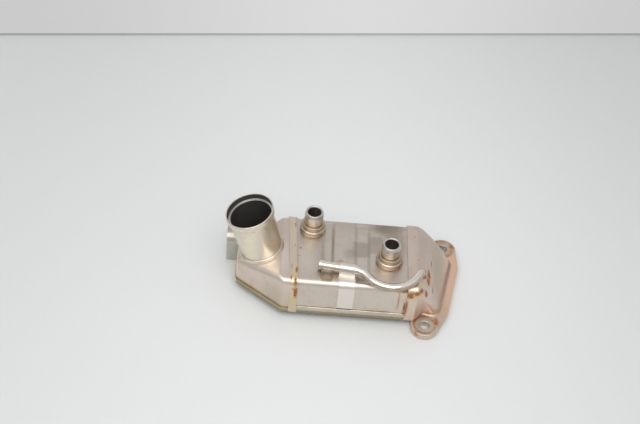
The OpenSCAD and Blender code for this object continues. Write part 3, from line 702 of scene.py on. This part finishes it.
# Gas outlet header: straight, then narrowing to a blunt nose under a leaning top
OUT_TURN, OUT_END = -11.0, -48.0
OUT_Y1, OUT_FRONT, OUT_BACK = 36.5, 7.0, 11.0
FRONT_TURN = OUT_TURN + 2 * OUT_Y1 * math.tan(SKEW)
OUT_Z1 = CORE_H - BEND
OUT_END_Z = OUT_Z1 - (OUT_TURN - OUT_END) * math.tan(LEAN)
FOOT_X, FOOT_Y = -31.0, 2.0
FOOT_Z = OUT_Z1 + BEND * math.cos(LEAN) - (OUT_TURN - BEND * math.sin(LEAN) - FOOT_X) * math.tan(LEAN)
FOOT = (FOOT_X, FOOT_Y, FOOT_Z)
OUT_AXIS = (-math.sin(LEAN), 0.0, math.cos(LEAN))
TUBE_HOLE_R = 20.1
NOSE_STEPS, BEND_STEPS, HOOD_STEP, TURN_STEP = 8, 8, 1.2, 0.5
# Share of the bend that close stations span, and the room between them and the run
BEND_SHARE, BEND_ROOM = 0.99, 0.3


def edge_at(x, turn_x, h1, h2, r):
    """The hood's reach at x: straight up to turn_x, then slanting from h1 to h2, rolled out by r."""
    a = math.atan2(h1 - h2, turn_x - OUT_END)
    if x >= turn_x:
        return h1 + r
    if x >= turn_x - r * math.sin(a):
        return h1 + math.sqrt(max(0.0, r * r - (x - turn_x) ** 2))
    if x >= OUT_END - r * math.sin(a):
        return h1 + r * math.cos(a) - (turn_x - r * math.sin(a) - x) * math.tan(a)
    return h2 + math.sqrt(max(0.0, r * r - (x - OUT_END) ** 2))


def hood_path(x, r):
    """Points of the hood's section at x, rolled out by r."""
    f = edge_at(x, FRONT_TURN, OUT_Y1, OUT_FRONT, r)
    b = edge_at(x, OUT_TURN, OUT_Y1, OUT_BACK, r)
    z = edge_at(x, OUT_TURN, OUT_Z1, OUT_END_Z, r)
    c = math.sqrt(max(0.0, r * r - (x - OUT_END) ** 2)) if x < OUT_END else r
    return [(x, y, height) for y, height in dome_path(-f, b, z, c, HOOD_STEPS)]


def outlet_header():
    def stops(r):
        """Stations of the nose, of the run and of the bend at its end."""
        nose = [OUT_END - r * math.sin(a) for a in reversed(quarter(NOSE_STEPS)[1:])]
        start = OUT_TURN - r * BEND_SHARE
        run = [x for x in frange(OUT_END, OUT_TURN - BEND, HOOD_STEP) if x < start - BEND_ROOM]
        bend = frange(start, OUT_TURN, r / BEND_STEPS) + frange(OUT_TURN + TURN_STEP, FRONT_TURN, TURN_STEP)
        return nose, run, bend

    pairs = flat(zip(*parts) for parts in zip(stops(BEND), stops(BEND - SHEET)))
    stations = [(hood_path(xo, BEND), hood_path(xi, BEND - SHEET)) for xo, xi in pairs]
    stations.append(tuple([(seam_x(-PLATE - GAP, p[1]), p[1], p[2]) for p in path] for path in stations[-1]))
    n = len(stations[0][0])
    verts = flat(section_ring(outer, inner) for outer, inner in stations)
    faces = quads(len(stations), 2 * n) + [tuple(range(n)), tuple(range(n, 2 * n))]
    faces += end_faces(len(stations) - 1, n) + [(0, n - 1, n, 2 * n - 1)]
    ob = add_object("outlet_header_skin", (verts, faces), "header_out", ["outlet_header"])
    cut(ob, FOOT, OUT_AXIS, TUBE_HOLE_R, 96)
    sharpen(ob)


# Gas inlet header: a duct that turns down to the flange's port
def loop_path(w, h, r, rb, round_steps=10, long=16, short=8):
    """A closed rectangle with round top corners and round bottom corners."""
    corners = [(w / 2, h / 2, r), (-w / 2, h / 2, r), (-w / 2, -h / 2, rb), (w / 2, -h / 2, rb)]
    bends = []
    for k, (x, y, q) in enumerate(corners):
        centre = (x - math.copysign(q, x), y - math.copysign(q, y))
        bends.append(arc(centre, q, math.pi / 2 * k, math.pi / 2 * (k + 1), round_steps))
    pts = []
    for k, bend in enumerate(bends):
        (x0, y0), (x1, y1) = bend[-1], bends[(k + 1) % 4][0]
        steps = long if k % 2 == 0 else short
        pts += bend + [(lerp(x0, x1, i / steps), lerp(y0, y1, i / steps)) for i in range(1, steps)]
    return pts


PORT_L, PORT_D, PORT_V, FLANGE_R = 72.0, 20.8, -1.1, 8.0
SKIRT_X0, SKIRT_X1, SKIRT_STEP = 108.0, 117.0, 1.7
# How far the duct runs on straight at its two ends, as shares of its way along and down
DUCT_AHEAD, DUCT_UP, DUCT_STEPS = 0.25, 0.15, 32


def duct_rings(depth):
    """Rings of the duct at a depth in its wall, from the skirt down to the flange's port."""
    end = loop_path(OUTER_W - 2 * depth, OUTER_H - 2 * depth, OUTER_R - depth, GAP if depth else FOOT_R)
    wall, r = SHEET - depth, FLANGE_R - depth
    port = loop_path(PORT_L + 2 * wall, PORT_D + 2 * wall, r, r)
    first = [(SKIRT_X1, p[0], OUTER_H / 2 + p[1]) for p in end]
    last = [(*at_flange(u, v + PORT_V), 0.0) for u, v in port]
    rings = [[(x, p[1], p[2]) for p in first] for x in frange(SKIRT_X0, SKIRT_X1 - 0.5, SKIRT_STEP)]
    for k in range(DUCT_STEPS + 1):
        t = k / DUCT_STEPS
        s = 1 - t
        ring = []
        for a, b in zip(first, last):
            a, b = Vector(a), Vector(b)
            p1 = Vector((lerp(a.x, b.x, DUCT_AHEAD), a.y, a.z))
            p2 = Vector((b.x, b.y, lerp(b.z, a.z, DUCT_UP)))
            ring.append(a * s**3 + p1 * 3 * s * s * t + p2 * 3 * s * t * t + b * t**3)
        rings.append(ring)
    return rings


def inlet_header():
    shape = tube_sweep(duct_rings(0.0), duct_rings(SHEET))
    sharpen(add_object("inlet_header_skin", shape, "header_in", ["inlet_header"]), 50)


# Turned and drawn round parts
def turned(name, node, kind, where, degrees, points, radii):
    """A turned piece of one kind in place of a node; where gives the lathe its origin, axis and sides."""
    ob = add_object(name, lathe(rounded(points, radii), *where), kind, [node])
    sharpen(ob, degrees)
    return ob


TUBE_R, TUBE_TOP_R, MOUTH_R, TUBE_WALL = 20.0, 21.0, 22.8, 1.4
# Heights of neck and tip, and how far below the tip the mouth starts to widen and is wide
NECK_H, TUBE_L, FLARE_FROM, MOUTH_FROM = 4.0, 51.0, 8.0, 6.0
RIM_EDGE, LEDGE_FROM = 0.15, 3.0
RING_IN, RING_FOOT_R, RING_R, RING_TOP_R = 20.1, 21.9, 21.1, 20.6
TUBE_LATHE = (FOOT, OUT_AXIS, 128)


def outlet_tube():
    neck, flare, mouth = TUBE_R, TUBE_L - FLARE_FROM, TUBE_L - MOUTH_FROM
    ob = turned(
        "outlet_tube_skin", "outlet_tube", "outlet", TUBE_LATHE, 50,
        [
            (neck, -SHEET), (neck, NECK_H), (TUBE_TOP_R, flare), (MOUTH_R, mouth), (MOUTH_R, TUBE_L),
            (MOUTH_R - TUBE_WALL, TUBE_L), (MOUTH_R - TUBE_WALL, mouth), (TUBE_TOP_R - TUBE_WALL, mouth),
            (TUBE_TOP_R - TUBE_WALL, flare), (neck - TUBE_WALL, NECK_H), (neck - TUBE_WALL, -SHEET),
        ],
        [0.2, 6, 2.5, 2.5, 0.6, 0.6, 0.3, 0.4, 1.5, 4, 0.2],
    )
    ob.data.materials.append(M["soot"])
    ob.data.materials.append(M["ledge_highlight"])
    axis, foot = Vector(OUT_AXIS), row(FOOT)
    for f in ob.data.polygons:
        along = (f.center - foot).dot(axis)
        out = f.center - foot - axis * along
        inward = -f.normal.dot(out.normalized())
        f.material_index = 1 if inward > 0.3 and along < (TUBE_L - RIM_EDGE) * MM else 0
        # The upward ledge inside the mouth gets the painted highlight steel
        if f.normal.dot(axis) > 0.6 and along < (TUBE_L - LEDGE_FROM) * MM:
            f.material_index = 2
    turned(
        "outlet_collar_skin", "outlet_collar", "outlet", TUBE_LATHE, 50,
        [
            (RING_IN, GAP), (RING_FOOT_R, GAP), (RING_R, 1.1), (RING_R, NECK_H - 0.5), (RING_TOP_R, NECK_H),
            (RING_IN, NECK_H),
        ],
        [0.1, 0.1, 0.8, 0.4, 0.3, 0.1],
    )


NIPPLE_H, NIPPLE_R, SPIGOT_R, NIPPLE_IN = 24.5, 8.2, 9.0, 6.4
SPIGOT_TOP = NIPPLE_H - 2.5
SPIGOT_FOOT = SPIGOT_TOP - 9.6
EDGE = 0.6
COLLAR_IN, COLLAR_R, COLLAR_TOP_R, COLLAR_EDGE_R = 8.3, 12.4, 10.8, 9.9
COLLAR_STEP_Z, COLLAR_TOP_Z, COLLAR_H = 4.98, 6.04, 10.6


def nipple(i):
    where = ((*NIPPLES[i - 1], CORE_H), UP)
    turned(
        f"nipple_skin_{i}", f"coolant_nipple_{i}", "nipple", where, 60,
        [
            (NIPPLE_IN, -SHEET), (NIPPLE_R, -SHEET), (NIPPLE_R, SPIGOT_FOOT - 0.8), (SPIGOT_R, SPIGOT_FOOT),
            (SPIGOT_R, SPIGOT_TOP), (NIPPLE_R, NIPPLE_H), (NIPPLE_IN + EDGE, NIPPLE_H),
            (NIPPLE_IN, NIPPLE_H - EDGE),
        ],
        [0.1, 0.1, 0.4, 0.5, 1.6, 0.8, 0.4, 0.4],
    )
    turned(
        f"collar_skin_{i}", f"coolant_collar_{i}", "collar", where, 60,
        [
            (COLLAR_IN, 0), (COLLAR_R, 0), (COLLAR_R, COLLAR_STEP_Z), (COLLAR_R - 0.5, COLLAR_STEP_Z + 0.5),
            (COLLAR_TOP_R, COLLAR_TOP_Z), (COLLAR_TOP_R, COLLAR_H - 1.06), (COLLAR_EDGE_R, COLLAR_H),
            (COLLAR_IN, COLLAR_H),
        ],
        [0.1, 0.2, 0.6, 0.6, 0.6, 1.0, 0.6, 0.1],
    )


# Pressure pipe: one tube from its open barb to the header
PIPE_R, PIPE_IN, BARB_R, BARB_L, PIPE_LIFT = 4.0, 2.8, 4.8, 6.0, 0.6
PIPE_X, PIPE_Y, PIPE_L, PIPE_Z = 23.0, -23.8, 36.9, OUTER_H + PIPE_LIFT + PIPE_R
# Headings of its three level stretches, and the drop at its end, in degrees
PIPE_YAW, PIPE_DIP, PIPE_HEAD, PIPE_DROP = 6.2, 48.0, 58.0, 70.0
# Radii of the three bends and lengths of the straights after them
PIPE_BENDS, PIPE_RUNS = (10.0, 27.0, 10.0), (8.0, 6.0, 4.5)


def ahead_of(h):
    """The level direction of a heading in degrees."""
    return Vector((math.cos(math.radians(h)), math.sin(math.radians(h))))


def left_of(h):
    """The level direction to the left of a heading."""
    return ahead_of(h + 90)


def pipe_at(s):
    """A station of the straight end, s from its open tip."""
    p = Vector((PIPE_X, PIPE_Y)) + s * ahead_of(-PIPE_YAW)
    return (p.x, p.y, PIPE_Z, -PIPE_YAW, 0.0)


def pipe_track():
    """Centre, heading and drop of the pipe at close stations."""
    dip, head, drop = PIPE_DIP, PIPE_HEAD, math.radians(PIPE_DROP)
    r1, r2, r3 = PIPE_BENDS
    b1 = Vector((PIPE_X, PIPE_Y)) + PIPE_L * ahead_of(-PIPE_YAW) - r1 * left_of(-PIPE_YAW)
    b2 = b1 + (r1 + r2) * left_of(-dip) + PIPE_RUNS[0] * ahead_of(-dip)
    b3 = b2 - r2 * left_of(head) + PIPE_RUNS[1] * ahead_of(head)
    track = [pipe_at(s) for s in frange(BARB_L, PIPE_L - 1, 2.0)]
    for h in frange(-PIPE_YAW, -dip, 4):
        track.append((*(b1 + r1 * left_of(h)), PIPE_Z, h, 0.0))
    for h in frange(-dip, head, 3):
        track.append((*(b2 - r2 * left_of(h)), PIPE_Z, h, 0.0))
    for degrees in frange(0, PIPE_DROP, 5):
        a = math.radians(degrees)
        p = b3 + r3 * math.sin(a) * ahead_of(head)
        track.append((*p, PIPE_Z - r3 * (1 - math.cos(a)), head, degrees))
    down = Vector((*(ahead_of(head) * math.cos(drop)), -math.sin(drop)))
    track.append((*(Vector(track[-1][:3]) + PIPE_RUNS[2] * down), head, PIPE_DROP))
    return track


PIPE_SIDES = 40


def pipe_ring(p, r):
    """A round section of the pipe at a station."""
    h, d = math.radians(p[3]), math.radians(p[4])
    u = Vector((-math.sin(h), math.cos(h), 0))
    w = Vector((math.sin(d) * math.cos(h), math.sin(d) * math.sin(h), math.cos(d)))
    angles = [2 * math.pi * i / PIPE_SIDES for i in range(PIPE_SIDES)]
    return [Vector(p[:3]) + u * r * math.cos(a) + w * r * math.sin(a) for a in angles]


def pressure_pipe():
    # Distances from the tip and radii: the barb outside, the rounded edge of the bore inside
    barb = [
        (0.0, 3.9), (0.12, 4.25), (0.4, 4.5), (0.8, 4.72), (1.2, BARB_R), (2.6, BARB_R), (3.1, 4.72),
        (4.5, 4.35), (5.5, 4.08),
    ]
    bore = [(0.0, 3.1), (0.15, 2.9), (0.5, PIPE_IN)]
    track = pipe_track()
    outer = [pipe_ring(pipe_at(s), r) for s, r in barb] + [pipe_ring(p, PIPE_R) for p in track]
    inner = [pipe_ring(pipe_at(s), r) for s, r in bore] + [pipe_ring(p, PIPE_IN) for p in track]
    shape = tube_sweep(outer, inner)
    sharpen(add_object("pressure_pipe_skin", shape, "pipe", ["pressure_pipe"]), 60)


# Flange: a thick plate with two ears, turned to the side
EAR_R, FLANGE_W, FLANGE_L = 13.0, 38.6, 76.0
BOLT_R, THROUGH = 4.5, 3.0
CORNER_PARTS, EAR_PARTS = 5, 16


def flange_outline():
    """A quarter of the outline, then the same one mirrored round."""
    cu, cv = FLANGE_L / 2 - FLANGE_R, FLANGE_W / 2 - FLANGE_R
    away = math.hypot(BOLT_HALF - cu, cv)
    tangent = math.atan2(cv, cu - BOLT_HALF) - math.acos((EAR_R - FLANGE_R) / away)
    part = [(0.0, FLANGE_W / 2)]
    part += arc((cu, cv), FLANGE_R, math.pi / 2, tangent, CORNER_PARTS)
    part += arc((BOLT_HALF, 0.0), EAR_R, tangent, 0.0, EAR_PARTS)
    back = list(reversed(part))
    pts = part + [(u, -v) for u, v in back[1:]]
    pts += [(-u, -v) for u, v in part[1:]] + [(-u, v) for u, v in back[1:-1]]
    return [at_flange(u, v) for u, v in pts]


def inlet_flange():
    plate = prism(flange_outline(), -FLANGE_T, 0.0)
    ob = add_object("inlet_flange_plate", plate, "flange", ["inlet_flange"])
    port = loop_path(PORT_L, PORT_D, FLANGE_R - SHEET, FLANGE_R - SHEET)
    cut_prism(ob, [at_flange(u, v + PORT_V) for u, v in port], -FLANGE_T - THROUGH, THROUGH)
    for s in (-1, 1):
        x, y = at_flange(s * BOLT_HALF, 0)
        cut(ob, (x, y, -FLANGE_T / 2), UP, BOLT_R, 48)
    # The cuts leave flat faces
    for f in ob.data.polygons:
        f.use_smooth = True
    soften(ob, 0.8, 3)
    ob.modifiers["edges"].harden_normals = True


def flange_weld():
    """A hollow fillet of weld metal round the header's foot on the flange."""
    wide = SHEET + 0.05
    loop = loop_path(PORT_L + 2 * wide, PORT_D + 2 * wide, FLANGE_R, FLANGE_R, 8, 60, 18)
    section = [(-0.4, 2.3), (0.0, 2.2), (0.25, 1.2), (0.8, 0.5), (1.6, 0.12), (2.1, -0.1), (-0.4, -0.1)]
    rings = []
    for i, (u, v) in enumerate(loop):
        a, b = Vector(loop[i - 1]), Vector(loop[(i + 1) % len(loop)])
        along = (b - a).normalized()
        out = Vector((along.y, -along.x))
        swell = 1.0 + 0.06 * math.sin(i * 1.9) + 0.06 * math.sin(i * 0.7)
        ring = []
        for off, z in section:
            p = Vector((u, v)) + out * off * swell
            ring.append((*at_flange(p.x, p.y + PORT_V), z * swell if z > 0 else z))
        rings.append(ring)
    faces = quads(len(rings), len(section), loop=True)
    sharpen(add_object("flange_weld", (flat(rings), faces), "weld"), 70)


# Tray under the jacket and cover under the outlet header
TRAY_LIP, NUDGE = 9.0, 0.01
COVER_LIP, COVER_EDGE_R, COVER_FLOOR = 5.0, 1.2, 3.0


def jacket_tray():
    half, steps = OUTER_W / 2, 6
    outer = [(-half, z) for z in frange(TRAY_LIP, FOOT_R + 0.4, 1.5)]
    inner = [(-half + SHEET, z) for z in frange(TRAY_LIP, SHEET + 0.5, 1.5)][: len(outer)]
    outer += [(-half + FOOT_R - FOOT_R * math.cos(a), FOOT_R - FOOT_R * math.sin(a)) for a in quarter(steps)]
    # The inner corner is nearly sharp, with as many points as the outer one
    inner += [(-half + SHEET + NUDGE * k, SHEET + NUDGE * (steps - k)) for k in range(steps + 1)]
    floor = frange(-half + FOOT_R + 2, half - FOOT_R - 2, 6)
    outer += [(y, 0.0) for y in floor] + [(-y, z) for y, z in reversed(outer)]
    inner += [(y, SHEET) for y in floor] + [(-y, z) for y, z in reversed(inner)]
    stations = [
        tuple([(lerp(seam_x(0, y), SKIRT_X0, t), y, z) for y, z in path] for path in (outer, inner))
        for t in frange(0.0, 1.0, 0.04)
    ]
    ob = add_object("jacket_tray_sheet", sheet_sweep(stations), "tray", ["jacket_tray"])
    sharpen(ob)
    soften(ob, 0.35, 2, 50)


def cover_outline(r):
    """The plan of the outlet header, grown by r, from the front end of the rim round to the back end."""
    corners = [
        (0.0, -OUT_Y1), (FRONT_TURN, -OUT_Y1), (OUT_END, -OUT_FRONT),
        (OUT_END, OUT_BACK), (OUT_TURN, OUT_Y1), (0.0, OUT_Y1),
    ]
    pts = []
    for p, q, s in zip(corners, corners[1:], corners[2:]):
        a0 = math.atan2(q[1] - p[1], q[0] - p[0]) + math.pi / 2
        a1 = math.atan2(s[1] - q[1], s[0] - q[0]) + math.pi / 2
        while a1 > a0:
            a1 -= 2 * math.pi
        pts += arc(q, r, a0, a1, ARC_STEPS)
    front, back = -OUT_Y1 - r, OUT_Y1 + r
    return [(seam_x(-RIM_L, front), front)] + pts + [(seam_x(-RIM_L, back), back)]


def outlet_cover():
    lip, edge = COVER_LIP, COVER_EDGE_R
    big, small = BEND + GAP + SHEET, BEND + GAP
    floor = small - COVER_FLOOR
    section = [(big, z) for z in (lip, 4.0, 2.8, 1.8, edge)]
    section += [(big - edge + edge * math.cos(a), edge - edge * math.sin(a)) for a in quarter(5)[1:]]
    section += [(floor, 0.0), (floor, SHEET), (small, SHEET), (small, 2.4), (small, lip)]
    paths = [cover_outline(r) for r, z in section]
    rings = [[(*path[k], z) for path, (r, z) in zip(paths, section)] for k in range(len(paths[0]))]
    n = len(section)
    low = section.index((floor, 0.0))
    last = (len(rings) - 1) * n
    # The lip and the floor's edge, then the floor itself in place of that edge's inner wall
    faces = [f for f in quads(len(rings), n) if f[0] % n != low]
    faces += [tuple(range(n)), tuple(range(last, last + n))]
    faces += [tuple(range(k, last + n, n)) for k in (low, low + 1)]
    faces.append((low, last + low, last + low + 1, low + 1))
    ob = add_object("outlet_cover_sheet", (flat(rings), faces), "cover", ["outlet_cover"])
    sharpen(ob)
    soften(ob, 0.3, 2, 60)


# Stage: pale table, pale wall behind it, with a painted falloff of light away from the object
STAGE_MIDDLE = (58.0, -30.0, 0.0)
# How far the painted falloff of light dims the stage away from the object
STAGE_FALLOFF = 0.84


def stage_material(name, color, rough, reach, glow=0.0):
    """Pale paint with a painted falloff of light: it dims from the object outwards, over a reach along each
    axis.
    """
    mat, n, bsdf = material(name)
    soft = n.noise(1.6, 2.0, 0.5)
    far = n.ramp(n.vector("LENGTH", n.away(STAGE_MIDDLE, reach)), 0.0, 1.0)
    paint = n.mix(n.ramp(soft, 0.3, 0.7), color, tuple(c * 0.97 for c in color))
    n.link(n.mix(far, paint, tuple(c * STAGE_FALLOFF for c in color)), bsdf.inputs["Base Color"])
    bsdf.inputs["Roughness"].default_value = rough
    if glow > 0:
        add_glow(n, bsdf, far, (glow, glow, glow * 1.01))
    return mat


def add_glow(n, bsdf, far, shade):
    """A glow of its own that dims outwards with the painted falloff, seen from in front only, so that it
    hides nothing from behind.
    """
    path = n.new("ShaderNodeLightPath")
    seen = n.math("MAXIMUM", path.outputs["Is Camera Ray"], path.outputs["Is Glossy Ray"])
    seen = n.math("MAXIMUM", seen, path.outputs["Is Transmission Ray"])
    lit = n.new("ShaderNodeEmission")
    n.link(n.mix(far, shade, tuple(c * STAGE_FALLOFF for c in shade)), lit.inputs["Color"])
    clear = n.new("ShaderNodeBsdfTransparent")
    behind = n.new("ShaderNodeNewGeometry").outputs["Backfacing"]
    both = n.blend(seen, bsdf.outputs[0], lit.outputs[0])
    sided = n.blend(behind, both, clear.outputs[0])
    out = next(node for node in n.tree.nodes if node.type == "OUTPUT_MATERIAL")
    n.link(sided, out.inputs[0])


def plane(name, corners, mat):
    """A flat stage piece."""
    mesh = bpy.data.meshes.new(name)
    mesh.from_pydata(corners, [], [(0, 1, 2, 3)])
    ob = new_object(name, mesh)
    mesh.materials.append(mat)


# All pieces; the plain ones keep their solids' own meshes
jacket()
outlet_header()
inlet_header()
outlet_tube()
nipple(1)
nipple(2)
pressure_pipe()
inlet_flange()
flange_weld()
jacket_tray()
outlet_cover()

plain = {
    "outlet_tube_sheet": "rim", "inlet_tube_sheet": "core",
    "support_bracket": "bracket", "pipe_clip": "clip",
}
plain.update((name, "core") for name in nodes if name.startswith("gas_"))
for name, key in plain.items():
    nodes[name].data.materials.clear()
    nodes[name].data.materials.append(M[key])
# The bracket's folded corner leaves a bevel no room
for name in ("outlet_tube_sheet", "inlet_tube_sheet", "pipe_clip"):
    soften(nodes[name], 0.35, 3)

# Camera: the photograph's pinhole view, worked out from a point on the jacket's top
PITCH, YAW, TILT = math.radians(45.5), math.radians(1.9), math.radians(4.4)
FOCAL_PX, DEPTH = 1200.0, 1140.0
ANCHOR_PX, ANCHOR = (346.0, 252.0), Vector((0.0, 0.0, CORE_H))
WIDTH_PX, HEIGHT_PX, SENSOR, ANCHOR_X = 640.0, 424.0, 36.0, 49.0
turn = Matrix.Rotation(-YAW, 3, "Z") @ Matrix.Rotation(TILT, 3, "Y")
right = Vector((1, 0, 0))
down = Vector((0, -math.sin(PITCH), -math.cos(PITCH)))
ahead = Vector((0, math.cos(PITCH), -math.sin(PITCH)))
ray = (
    right * ((ANCHOR_PX[0] - WIDTH_PX / 2) / FOCAL_PX)
    + down * ((ANCHOR_PX[1] - HEIGHT_PX / 2) / FOCAL_PX)
    + ahead
) * DEPTH
eye = turn.transposed() @ (turn @ ANCHOR - ray)
eye = row((eye.x + ANCHOR_X, eye.y, eye.z))
axes = [turn.transposed() @ v for v in (right, -down, -ahead)]
cam_data = bpy.data.cameras.new("camera")
cam_data.sensor_width = SENSOR
cam_data.lens = FOCAL_PX / WIDTH_PX * SENSOR
cam = new_object("camera", cam_data)
pose = Matrix((axes[0], axes[1], axes[2])).transposed().to_4x4()
pose.translation = eye
cam.matrix_world = pose
scene.camera = cam


def on_floor(px, py):
    """The floor's point that the camera sees at a pixel."""
    d = axes[0] * ((px - WIDTH_PX / 2) / FOCAL_PX) + axes[1] * ((HEIGHT_PX / 2 - py) / FOCAL_PX) - axes[2]
    return eye + d * (-eye.z / d.z)


ROUND, SIDEWAYS = (430.0, 800.0, 1e5), (400.0, 1e5, 1e5)
table = stage_material("table_paint", (0.79, 0.80, 0.80), 0.45, ROUND)
wall_paint = stage_material("wall_paint", (0.86, 0.86, 0.87), 0.6, SIDEWAYS, 0.71)
# Painted shadow: the glowing grey paint of a thin strip at the foot of the wall
shadow_strip_paint = stage_material("shadow_strip_paint", (0.42, 0.42, 0.42), 0.6, SIDEWAYS, 0.42)
# The picture line of the joint between table and wall, and the stage's sizes in metres; the strip at the
# joint is a painted shadow
JOINT_PX, FLOOR_D, FLOOR_MORE, WALL_H, SHADOW_STRIP_OUT, SHADOW_STRIP_H = 34.2, 3.0, 1.5, 1.2, 0.002, 0.003
far = [on_floor(0, JOINT_PX), on_floor(WIDTH_PX, JOINT_PX)]
line = (far[1] - far[0]).normalized()
side = Vector((line.y, -line.x, 0))
a, b = far[0] - line * FLOOR_MORE, far[1] + line * FLOOR_MORE
near = side * FLOOR_D
plane("floor", [a - near, b - near, b + near, a + near], table)
up = Vector(UP) * WALL_H
plane("wall", [a, b, b + up, a + up], wall_paint)
# A painted shadow along the joint: a thin grey strip just in front of the wall's foot
step = side * SHADOW_STRIP_OUT
low = Vector(UP) * SHADOW_STRIP_H
plane("joint_shadow", [a + step, b + step, b + step + low, a + step + low], shadow_strip_paint)

# Light: an even white room, brighter above, with one broad lamp overhead
ROOM_LOW, ROOM_HIGH, ROOM_MIDDLE = (0.45, 0.45, 0.46, 1), (0.92, 0.92, 0.92, 1), (0.80, 0.80, 0.80, 1)
ROOM_LEVEL = 0.85
LAMP_AT, LAMP_AIM = Vector((-0.30, -0.60, 1.3)), Vector((-0.08, 0, 0))
LAMP_SIZE, LAMP_POWER = (1.6, 1.0), 10.0
scene.view_settings.view_transform = "Standard"
scene.world = bpy.data.worlds.new("room")
scene.world.use_nodes = True
scene.world.node_tree.nodes.clear()
room = Nodes(scene.world.node_tree)
height = room.new("ShaderNodeSeparateXYZ")
room.link(room.position.node.outputs["Generated"], height.inputs[0])
shades = room.new("ShaderNodeValToRGB")
room.link(height.outputs[2], shades.inputs[0])
shades.color_ramp.elements[0].color = ROOM_LOW
shades.color_ramp.elements[1].color = ROOM_HIGH
shades.color_ramp.elements.new(0.4).color = ROOM_MIDDLE
light = room.new("ShaderNodeBackground")
room.link(shades.outputs[0], light.inputs[0])
light.inputs[1].default_value = ROOM_LEVEL
room.link(light.outputs[0], room.new("ShaderNodeOutputWorld").inputs[0])

lamp = bpy.data.lights.new("overhead", "AREA")
lamp.shape = "RECTANGLE"
lamp.size, lamp.size_y = LAMP_SIZE
lamp.energy = LAMP_POWER
lamp_place = new_object("overhead", lamp)
lamp_place.location = LAMP_AT
lamp_place.rotation_euler = (LAMP_AIM - LAMP_AT).to_track_quat("-Z", "Y").to_euler()
